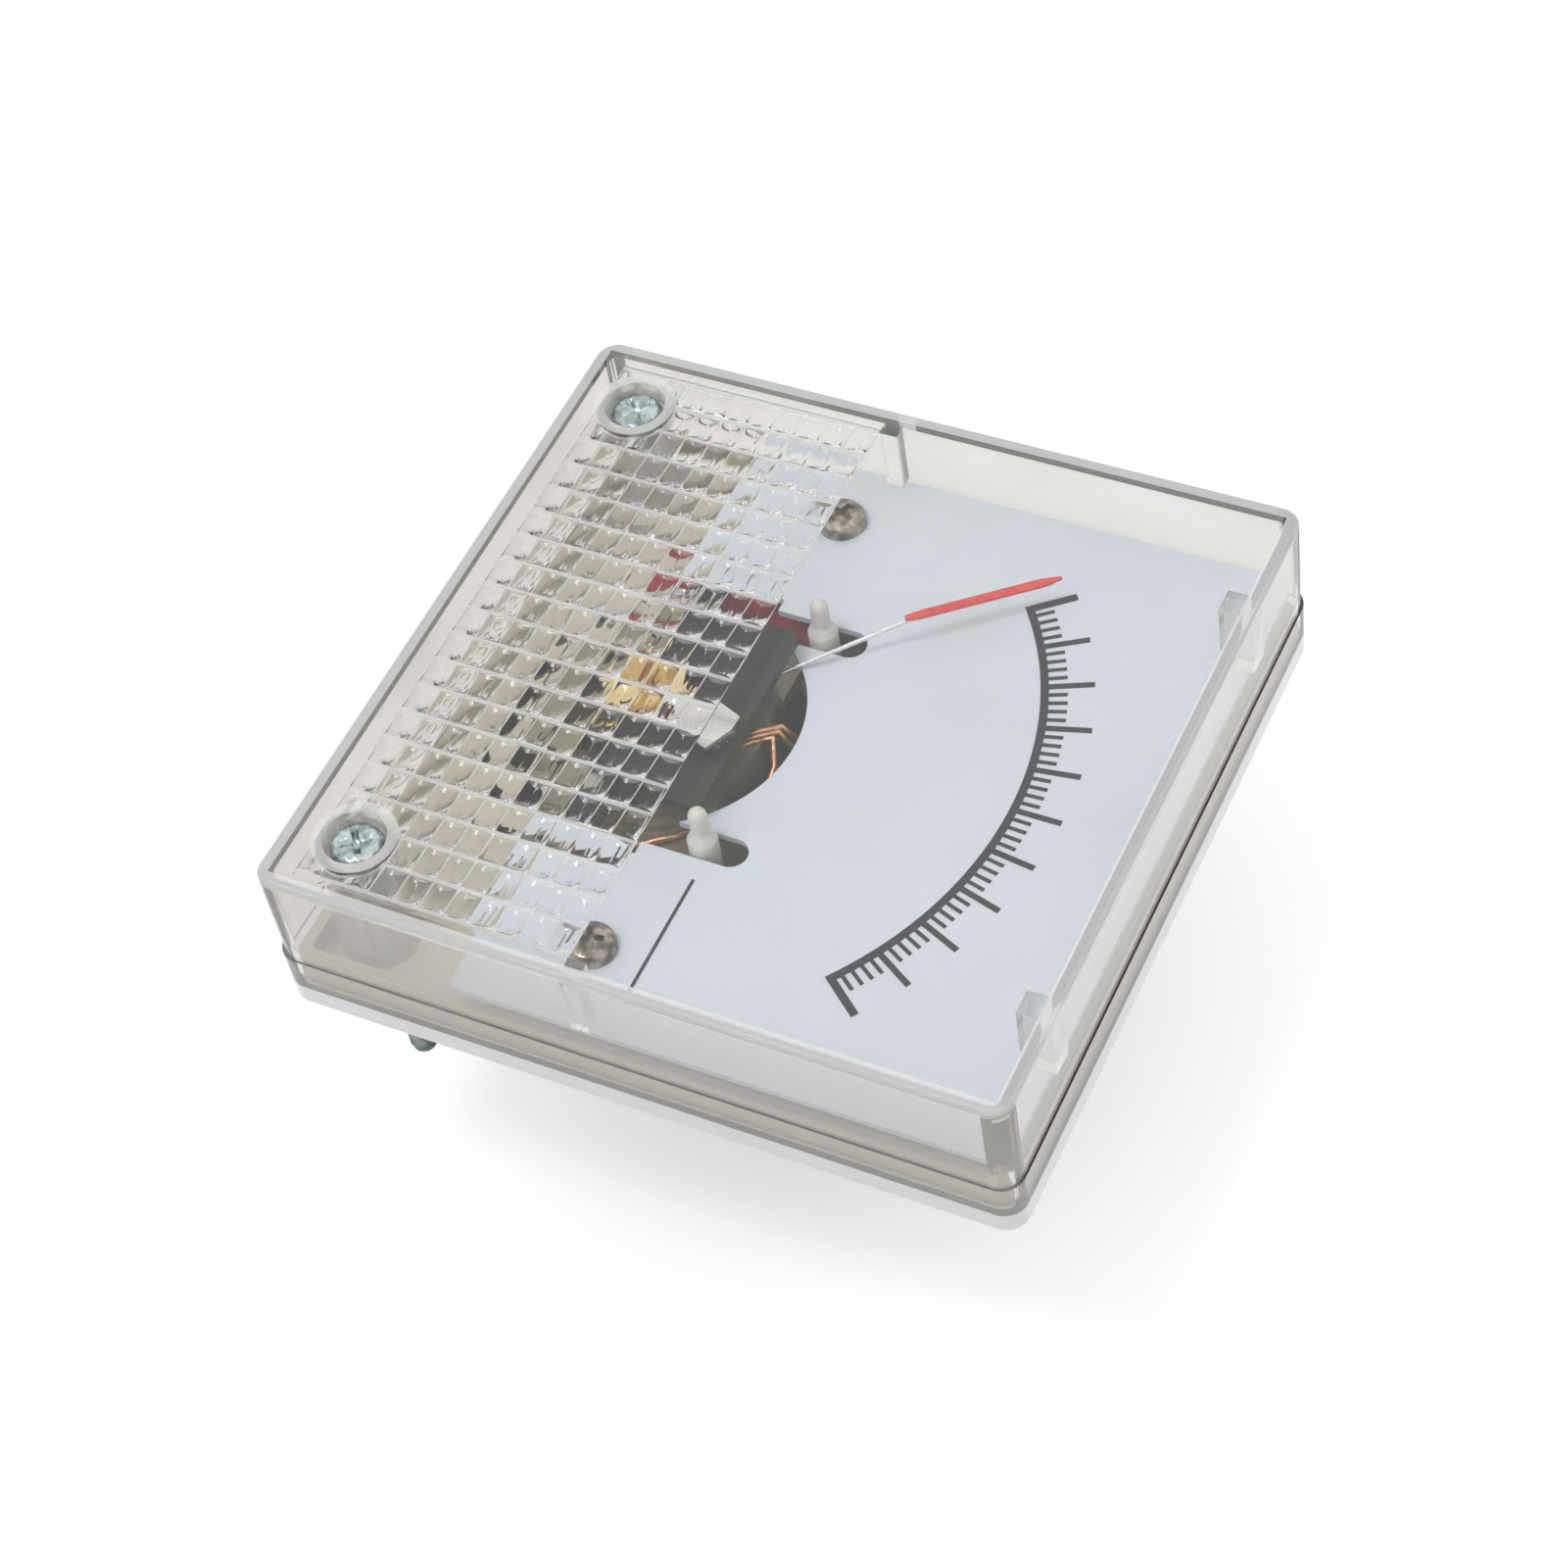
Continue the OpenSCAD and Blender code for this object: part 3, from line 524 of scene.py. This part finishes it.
BARREL_BLACK = Finish("dark_barrel_moulding", (0.028, 0.03, 0.032), (0.045, 0.046, 0.048),
                      rough=(0.38, 0.6), patch_mm=7.0, grain_mm=0.4, relief=0.25)
DIAL_WHITE = Finish("white_enamelled_dial", (0.69, 0.748, 0.82), (0.71, 0.765, 0.832),
                    rough=(0.28, 0.4), patch_mm=16.0, grain_mm=0.25, relief=0.06,
                    relief_mm=0.02, coat=0.15)
DIAL_INK = Finish("black_printed_ink", (0.012, 0.014, 0.02), (0.02, 0.022, 0.03),
                  rough=(0.45, 0.6), patch_mm=1.5, grain_mm=0.15, relief=0.2, relief_mm=0.01)
# the dark second colour in small patches is painted reflection on the screw heads
NICKEL_WITH_PAINTED_REFLECTIONS = Finish("nickel_screw_painted_reflections", (0.50, 0.44, 0.37), (0.085, 0.07, 0.055),
                rough=(0.08, 0.22), metallic=1.0, patch_mm=1.3, grain_mm=0.5, relief=0.7,
                relief_mm=0.12)
# the light and dark patches are painted highlights; the shank below zero height gets painted
# shade
ZINC_WITH_PAINTED_LIGHT_AND_SHADE = ShadedShankFinish("zinc_plate_painted_light_and_shade", (0.62, 0.70, 0.71), (0.24, 0.31, 0.31),
                          rough=(0.16, 0.32), metallic=1.0, patch_mm=1.4, grain_mm=0.3,
                          relief=0.3, relief_mm=0.03)
NYLON = Finish("natural_nylon", (0.78, 0.775, 0.71), (0.73, 0.725, 0.66),
               rough=(0.35, 0.5), subsurface=0.35, patch_mm=2.0, grain_mm=0.4, relief=0.1)
DULL_STEEL = Finish("grey_rolled_steel", (0.15, 0.15, 0.155), (0.20, 0.20, 0.20),
                    rough=(0.34, 0.52), metallic=0.85, patch_mm=3.0, grain_mm=0.25,
                    relief=0.2, grain=Grain.ROLLED)
BRIGHT_STEEL = Finish("bright_small_screw", (0.56, 0.56, 0.55), (0.46, 0.46, 0.45),
                      rough=(0.18, 0.34), metallic=1.0, patch_mm=1.0, grain_mm=0.25,
                      relief=0.2, relief_mm=0.03)
BRIDGE_DARK = Finish("dark_bridge_plate", (0.022, 0.022, 0.018), (0.055, 0.054, 0.045),
                     rough=(0.3, 0.46), metallic=0.1, gloss=0.2, patch_mm=5.0, grain_mm=0.3,
                     relief=0.15, grain=Grain.DRAWN)
YOKE_IRON = Finish("olive_yoke_iron", (0.34, 0.315, 0.225), (0.26, 0.24, 0.17),
                   rough=(0.36, 0.55), metallic=0.55, patch_mm=2.5, grain_mm=0.3,
                   relief=0.2, grain=Grain.TURNED)
MAGNET_GREY = Finish("sintered_magnet", (0.05, 0.05, 0.05), (0.085, 0.082, 0.08),
                     rough=(0.4, 0.62), metallic=0.4, patch_mm=1.8, grain_mm=0.2, relief=0.4)
BRASS = Finish("turned_brass", (0.66, 0.46, 0.16), (0.56, 0.385, 0.13),
               rough=(0.2, 0.36), metallic=1.0, patch_mm=1.6, grain_mm=0.2, relief=0.2,
               relief_mm=0.03)
BRIGHT_BRASS = Finish("bright_yellow_brass", (0.93, 0.79, 0.44), (0.84, 0.68, 0.33),
                      rough=(0.16, 0.3), metallic=1.0, patch_mm=1.2, grain_mm=0.2,
                      relief=0.2, relief_mm=0.03)
TINNED = Finish("tinned_strip", (0.80, 0.79, 0.77), (0.70, 0.69, 0.67),
                rough=(0.15, 0.3), metallic=1.0, patch_mm=1.5, grain_mm=0.3, relief=0.2,
                relief_mm=0.03, grain=Grain.ROLLED)
ALUMINIUM = Finish("soft_aluminium", (0.66, 0.66, 0.66), (0.58, 0.58, 0.58),
                   rough=(0.26, 0.4), metallic=1.0, patch_mm=1.6, grain_mm=0.2, relief=0.2)
COPPER_WIRE = Finish("enamelled_copper_wire", (0.56, 0.25, 0.10), (0.84, 0.46, 0.24),
                     rough=(0.22, 0.38), metallic=0.9, coat=0.5, patch_mm=0.8,
                     grain_mm=0.12, relief=0.35, relief_mm=0.03)
SPRING_BRONZE = Finish("blued_spring_bronze", (0.55, 0.36, 0.18), (0.46, 0.29, 0.14),
                       rough=(0.2, 0.32), metallic=1.0, patch_mm=0.8, grain_mm=0.15,
                       relief=0.1)
POINTER_SILVER = Finish("bright_pointer_tube", (0.80, 0.80, 0.80), (0.72, 0.72, 0.72),
                        rough=(0.2, 0.34), metallic=0.9, patch_mm=2.0, grain_mm=0.2,
                        relief=0.1, relief_mm=0.02)
POINTER_RED = Finish("red_pointer_paint", (0.74, 0.035, 0.03), (0.83, 0.09, 0.07),
                     rough=(0.3, 0.45), patch_mm=2.2, grain_mm=0.3, relief=0.3)
RED_FIBRE = Finish("dark_red_fibre", (0.27, 0.004, 0.018), (0.36, 0.009, 0.027),
                   rough=(0.38, 0.55), patch_mm=3.0, grain_mm=0.35, relief=0.3)
BROWN_RESIN = Finish("brown_resin", (0.10, 0.045, 0.022), (0.15, 0.07, 0.035),
                     rough=(0.3, 0.5), patch_mm=2.0, grain_mm=0.3, relief=0.2)

NODE_FINISHES: dict[str, Finish] = {
    "base_flange": CLEAR_BASE, "base_tray": CREAM_TRAY,
    "barrel_cup": BARREL_BLACK, "dial_plate": DIAL_WHITE, "scale_marks": DIAL_INK,
    "caption_line": DIAL_INK, "dial_screws": NICKEL_WITH_PAINTED_REFLECTIONS, "mounting_screws": ZINC_WITH_PAINTED_LIGHT_AND_SHADE,
    "stop_pegs": NYLON, "carrier_plate": YOKE_IRON, "carrier_screws": BRIGHT_STEEL,
    "yoke_ring": YOKE_IRON, "magnet_core": MAGNET_GREY, "core_supports": BRASS,
    "bridge_pillars": BRIGHT_STEEL, "upper_bridge": BRIDGE_DARK, "lower_bridge": DULL_STEEL,
    "bridge_screws": BRIGHT_STEEL, "upper_jewel_screw": BRASS, "lower_jewel_screw": BRASS,
    "jewel_lock_nuts": BRASS, "zero_disc": BRIGHT_BRASS, "zero_tab": TINNED,
    "coil_former": ALUMINIUM, "coil_winding": COPPER_WIRE, "pivot_staffs": BRIGHT_STEEL,
    "upper_hairspring": SPRING_BRONZE, "lower_hairspring": SPRING_BRONZE,
    "pointer_hub": ALUMINIUM, "pointer_arm": POINTER_SILVER, "pointer_tip": POINTER_RED,
    "balance_nuts": BRASS, "red_insulator": RED_FIBRE, "range_spool": BROWN_RESIN,
    "range_winding": COPPER_WIRE, "lead_wires": COPPER_WIRE, "terminal_studs": BRASS,
    "terminal_nuts": BRASS, "terminal_washers": BRIGHT_STEEL, "solder_lugs": TINNED,
}


@dataclass
class NodeDresser:
    """Gives every CAD node its finish."""

    finishes: dict[str, Finish]

    def dress(self, nodes: dict[str, bpy.types.Object]) -> None:
        """Assign the finishes to the nodes' material slots.

        Args:
            nodes: The CAD nodes by name.
        """
        for name, finish in self.finishes.items():
            finish.put_on(nodes[name])
            LOG.info("%s: %s", name, finish.name)


# ---------------------------------------------------------------- moulded and cut pieces


def merged_copy(node: bpy.types.Object, name: str) -> bpy.types.Object:
    """Copy a node's shape as a new piece whose loose triangles are joined.

    Args:
        node: The node that is copied and left as it is.
        name: The new piece's name.

    Returns:
        The new piece, active and alone in the selection.
    """
    bpy.ops.object.select_all(action="DESELECT")
    piece = bpy.data.objects.new(name, node.data.copy())
    bpy.context.collection.objects.link(piece)
    bpy.context.view_layer.objects.active = piece
    piece.select_set(True)
    bpy.ops.object.mode_set(mode="EDIT")
    bpy.ops.mesh.select_all(action="SELECT")
    bpy.ops.mesh.remove_doubles(threshold=MERGE_DISTANCE)
    bpy.ops.object.mode_set(mode="OBJECT")
    return piece


def finish_piece(piece: bpy.types.Object, finish: Finish, body: str,
                 node: str) -> None:
    """Give a new piece its finish and say what it rides on and stands for.

    Args:
        piece: The new piece.
        finish: Its finish.
        body: The body it rides on.
        node: The node it stands for.
    """
    finish.put_on(piece)
    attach(piece, body)
    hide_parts(node)
    LOG.info("%s stands for %s", piece.name, node)


@dataclass
class ClearCover:
    """The clear cover, with its crowned rows smooth, its flats flat and its corners crisp.

    A face is flat where some part of its unit normal is over flat_share, so along an axis.
    """

    finish: Finish
    node: str = "front_cover"
    smooth_deg: float = 24.0
    flat_share: float = 0.9999

    def build(self, nodes: dict[str, bpy.types.Object]) -> bpy.types.Object:
        """Make the cover from the node's shape.

        Args:
            nodes: The CAD nodes by name.

        Returns:
            The cover.
        """
        cover = merged_copy(nodes[self.node], "clear_window_cover")
        bpy.ops.object.shade_smooth_by_angle(angle=math.radians(self.smooth_deg))
        self._flatten(cover)
        finish_piece(cover, self.finish, "case", self.node)
        cover.visible_shadow = False
        return cover

    def _flatten(self, cover: bpy.types.Object) -> None:
        """Shade the faces that look along an axis flat.

        Args:
            cover: The cover, active and in object mode.
        """
        flat = [max(abs(part) for part in face.normal) > self.flat_share
                for face in cover.data.polygons]
        bpy.ops.object.mode_set(mode="EDIT")
        bpy.ops.mesh.select_mode(type="FACE")
        bpy.ops.mesh.select_all(action="DESELECT")
        bpy.ops.object.mode_set(mode="OBJECT")
        cover.data.polygons.foreach_set("select", flat)
        bpy.ops.object.mode_set(mode="EDIT")
        bpy.ops.mesh.faces_shade_flat()
        bpy.ops.object.mode_set(mode="OBJECT")


@dataclass
class StrandBundle:
    """The movement's leads, as round strands that lie close together."""

    node: str = "lead_wires"
    thicker_mm: float = 0.11
    smooth_deg: float = 50.0

    def build(self, nodes: dict[str, bpy.types.Object]) -> bpy.types.Object:
        """Make the strands from the node's shape.

        Args:
            nodes: The CAD nodes by name.

        Returns:
            The strands.
        """
        strands = merged_copy(nodes[self.node], "close_packed_leads")
        bpy.ops.object.mode_set(mode="EDIT")
        bpy.ops.mesh.select_all(action="SELECT")
        bpy.ops.transform.shrink_fatten(value=self.thicker_mm * MM)
        bpy.ops.object.mode_set(mode="OBJECT")
        bpy.ops.object.shade_smooth_by_angle(angle=math.radians(self.smooth_deg))
        finish_piece(strands, COPPER_WIRE, "case", self.node)
        return strands


def level_offset(point: Vector, axis: Vector) -> Vector:
    """Give how far a point lies from an upright axis.

    Args:
        point: The point.
        axis: Where the axis meets zero height.

    Returns:
        The level vector from the axis to the point.
    """
    return Vector((point.x, point.y, 0.0)) - axis


@dataclass(frozen=True)
class Shank:
    """One threaded shank: its axis, its outer radius and the ends of its outer wall."""

    axis: Vector
    major: float
    low: float
    high: float


@dataclass
class ThreadedShanks:
    """A pair of screws or studs whose free ends carry a cut thread.

    The section is where the ridge starts, peaks and ends within one pitch. Points below
    top_mm belong to the shanks. Measured up from the lowest point, tip_mm holds the end face,
    which gives the axis, and end_mm a piece of full width, which gives the radius.
    """

    node: str
    name: str
    slot: str
    finish: Finish
    pitch_mm: float
    steps: int = 20
    depth_share: float = 0.61
    sink_mm: float = 0.03
    section: tuple[float, float, float] = (0.06, 0.5, 0.94)
    top_mm: float = -0.2
    tip_mm: float = 0.05
    end_mm: float = 1.0
    wall_share: float = 0.01
    smooth_deg: float = 35.0

    def build(self, nodes: dict[str, bpy.types.Object]) -> bpy.types.Object:
        """Draw the shanks in to the thread's root and wind a ridge round each.

        Args:
            nodes: The CAD nodes by name.

        Returns:
            The threaded pair.
        """
        piece = merged_copy(nodes[self.node], self.name)
        shanks = [self._shank(piece, side) for side in (-1.0, 1.0)]
        for shank in shanks:
            self._draw_in(piece, shank)
        ridges = [self._ridge(shank) for shank in shanks]
        bpy.ops.object.select_all(action="DESELECT")
        for part in (*ridges, piece):
            part.select_set(True)
        bpy.context.view_layer.objects.active = piece
        bpy.ops.object.join()
        bpy.ops.object.shade_smooth_by_angle(angle=math.radians(self.smooth_deg))
        for shank in shanks:
            LOG.info("%s: shank r %.2f mm, thread z %.2f to %.2f mm", self.name,
                     shank.major / MM, shank.low / MM, shank.high / MM)
        finish_piece(piece, self.finish, "case", self.node)
        return piece

    def _shank(self, piece: bpy.types.Object, side: float) -> Shank:
        """Find one shank's axis, its outer radius and the heights of its threaded length.

        Args:
            piece: The merged copy.
            side: The side of the meter, -1 or 1 along X.

        Returns:
            The shank.
        """
        points = [v.co for v in piece.data.vertices
                  if v.co.x * side > 0 and v.co.z < self.top_mm * MM]
        lowest = min(p.z for p in points)
        tip = [p for p in points if p.z < lowest + self.tip_mm * MM]
        axis = Vector((sum(p.x for p in tip) / len(tip), sum(p.y for p in tip) / len(tip), 0.0))
        end = [p for p in points if p.z < lowest + self.end_mm * MM]
        major = max(level_offset(p, axis).length for p in end)
        wall = [p.z for p in points if self._on_wall(p, axis, major)]
        return Shank(axis, major, min(wall), max(wall))

    def _on_wall(self, point: Vector, axis: Vector, major: float) -> bool:
        """Tell whether a point lies on a shank's outer wall.

        Args:
            point: The point.
            axis: The shank's axis.
            major: Its outer radius.

        Returns:
            True on the wall.
        """
        gap = abs(level_offset(point, axis).length - major)
        return point.z < self.top_mm * MM and gap < self.wall_share * major

    def _draw_in(self, piece: bpy.types.Object, shank: Shank) -> None:
        """Bring a shank's outer wall in to the root of its thread.

        Args:
            piece: The merged copy.
            shank: The shank.
        """
        root = shank.major - self.depth_share * self.pitch_mm * MM
        for vertex in piece.data.vertices:
            if self._on_wall(vertex.co, shank.axis, shank.major):
                out = level_offset(vertex.co, shank.axis)
                vertex.co.x = shank.axis.x + out.x * root / shank.major
                vertex.co.y = shank.axis.y + out.y * root / shank.major

    def _ridge(self, shank: Shank) -> bpy.types.Object:
        """Wind a closed ridge of triangular section round a shank.

        Args:
            shank: The shank.

        Returns:
            The ridge, with its origin at the meter's own.
        """
        pitch = self.pitch_mm * MM
        root = shank.major - self.depth_share * pitch - self.sink_mm * MM
        corners = len(self.section)
        bpy.ops.object.select_all(action="DESELECT")
        bpy.ops.mesh.primitive_circle_add(vertices=corners, radius=pitch,
                                          location=(shank.axis.x, shank.axis.y, shank.low))
        ridge = bpy.context.object
        radii = (root, shank.major, root)
        for vertex, radius, share in zip(ridge.data.vertices, radii, self.section):
            vertex.co = (radius, 0.0, share * pitch)
        winding = ridge.modifiers.new("winding", "SCREW")
        winding.axis = "Z"
        winding.screw_offset = pitch
        winding.iterations = int((shank.high - shank.low) / pitch) - 1
        winding.steps = self.steps
        winding.render_steps = self.steps
        winding.use_normal_calculate = True
        bpy.ops.object.modifier_apply(modifier=winding.name)
        bpy.ops.object.mode_set(mode="EDIT")
        bpy.ops.mesh.select_all(action="SELECT")
        bpy.ops.mesh.fill_holes(sides=corners)
        bpy.ops.mesh.select_all(action="SELECT")
        bpy.ops.mesh.normals_make_consistent(inside=False)
        bpy.ops.object.mode_set(mode="OBJECT")
        bpy.ops.object.transform_apply(location=True, rotation=True, scale=True)
        return ridge


# ---------------------------------------------------------------- studio


@dataclass
class SoftLamp:
    """A square soft box that looks at the meter."""

    name: str
    place: Point
    size: float
    power: float
    aim: Point = (0.0, 0.0, 0.0)

    def build(self) -> bpy.types.Object:
        """Add the lamp and turn it to its aim.

        Returns:
            The lamp's object.
        """
        bpy.ops.object.light_add(type="AREA", location=self.place)
        lamp = bpy.context.object
        lamp.name = self.name
        lamp.data.shape = "SQUARE"
        lamp.data.size = self.size
        lamp.data.energy = self.power
        towards = Vector(self.aim) - Vector(self.place)
        lamp.rotation_euler = towards.to_track_quat("-Z", "Y").to_euler()
        LOG.info("%s: %.2f W", self.name, self.power)
        return lamp


@dataclass
class Studio:
    """A pale floor under the studs, a white surround, soft boxes and the camera."""

    camera_place: Point = (0.201041, 0.135662, 0.297838)
    camera_aim: Point = (0.004627, 0.003510, 0.0099)
    camera_roll_deg: float = -11.23
    lens_mm: float = 83.74
    sensor_mm: float = 36.0
    clip_start: float = 0.01
    floor_size: float = 6.0
    floor_colour: Colour = (0.93, 0.93, 0.93)
    floor_rough: float = 0.9
    floor_lift: float = 0.42
    ambient: float = 0.7
    glass_bounces: int = 28
    lamps: tuple[SoftLamp, ...] = (
        SoftLamp("key_box", (0.30, -0.24, 0.95), 0.2, 1.4),
        SoftLamp("side_box", (-0.7, 0.5, 0.6), 0.6, 0.25),
    )

    def build(self, floor_z: float) -> None:
        """Make the whole studio.

        Args:
            floor_z: The height of the floor.
        """
        cycles = bpy.context.scene.cycles
        cycles.max_bounces = self.glass_bounces
        cycles.transmission_bounces = self.glass_bounces
        cycles.glossy_bounces = self.glass_bounces // 2
        self._camera()
        self._surround()
        self._floor(floor_z)
        for lamp in self.lamps:
            lamp.build()

    def _camera(self) -> None:
        """Add the camera, aimed and rolled."""
        bpy.ops.object.camera_add(location=self.camera_place)
        camera = bpy.context.object
        camera.name = "meter_camera"
        camera.data.lens = self.lens_mm
        camera.data.sensor_width = self.sensor_mm
        camera.data.sensor_fit = "AUTO"
        camera.data.clip_start = self.clip_start
        towards = Vector(self.camera_aim) - Vector(self.camera_place)
        level = towards.to_track_quat("-Z", "Y").to_matrix()
        roll = Matrix.Rotation(math.radians(self.camera_roll_deg), 3, "Z")
        camera.rotation_euler = (level @ roll).to_euler()
        bpy.context.scene.camera = camera

    def _surround(self) -> None:
        """Add a surround that is white to the eye, in gloss and in glass, and softer as light."""
        world = bpy.data.worlds.new("white_surround")
        bpy.context.scene.world = world
        world.use_nodes = True
        tree = world.node_tree
        back = tree.nodes["Background"]
        set_inputs(back, {"Color": WHITE})
        level = tree.nodes.new("ShaderNodeMapRange")
        set_inputs(level, {"To Min": self.ambient, "To Max": 1.0})
        tree.links.new(self._seen(tree), level.inputs["Value"])
        tree.links.new(level.outputs["Result"], back.inputs["Strength"])

    @staticmethod
    def _seen(tree: bpy.types.NodeTree) -> bpy.types.NodeSocket:
        """Add nodes that give 1 where a surface is seen directly, in gloss or through glass.

        Args:
            tree: The nodes they are added to.

        Returns:
            The socket with the result.
        """
        path = tree.nodes.new("ShaderNodeLightPath").outputs
        maths = NodeMaths(tree)
        gloss = maths.join("MAXIMUM", path["Is Camera Ray"], path["Is Glossy Ray"])
        return maths.join("MAXIMUM", gloss, path["Is Transmission Ray"])

    def _floor(self, floor_z: float) -> None:
        """Add a wide pale floor that keeps the meter's shadow.

        Args:
            floor_z: The height of the floor.
        """
        bpy.ops.mesh.primitive_plane_add(size=self.floor_size, location=(0, 0, floor_z))
        floor = bpy.context.object
        floor.name = "studio_floor"
        paper = bpy.data.materials.new("pale_paper")
        paper.use_nodes = True
        tree = paper.node_tree
        shader = tree.nodes["Principled BSDF"]
        set_inputs(shader, {
            "Base Color": (*self.floor_colour, 1.0), "Roughness": self.floor_rough,
            "Specular IOR Level": 0.0, "Emission Color": WHITE})
        lift = NodeMaths(tree).join("MULTIPLY", self._seen(tree), self.floor_lift)
        tree.links.new(lift, shader.inputs["Emission Strength"])
        floor.data.materials.append(paper)
        LOG.info("%s: z %.2f mm", floor.name, floor_z / MM)


def main() -> None:
    """Load the frame, dress it, and build the studio round it."""
    logging.basicConfig(level=logging.INFO, format="%(name)s: %(message)s")
    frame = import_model()
    bpy.ops.object.select_all(action="DESELECT")
    bpy.context.scene.view_settings.view_transform = "Standard"
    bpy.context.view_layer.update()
    floor_z = min(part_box(name)[0].z for name in frame["nodes"]) - FLOOR_GAP
    window = CLEAR_MOULDING.placed("front_cover", "mounting_screws")
    LOG.info("window: under %.2f, wells %s, cavity %s, middle %.2f mm", window.under_mm,
             window.well_mm, window.cavity_half_mm, window.centre_y_mm)
    NodeDresser({"front_cover": window} | NODE_FINISHES).dress(frame["nodes"])
    ClearCover(window).build(frame["nodes"])
    StrandBundle().build(frame["nodes"])
    ThreadedShanks("mounting_screws", "threaded_mounting_screws", "zinc_steel", ZINC_WITH_PAINTED_LIGHT_AND_SHADE,
                   pitch_mm=0.5).build(frame["nodes"])
    ThreadedShanks("terminal_studs", "threaded_terminal_studs", "brass", BRASS,
                   pitch_mm=0.7).build(frame["nodes"])
    Studio().build(floor_z)
    bpy.context.view_layer.update()
    LOG.info("sizes written")


if __name__ == "__main__":
    main()
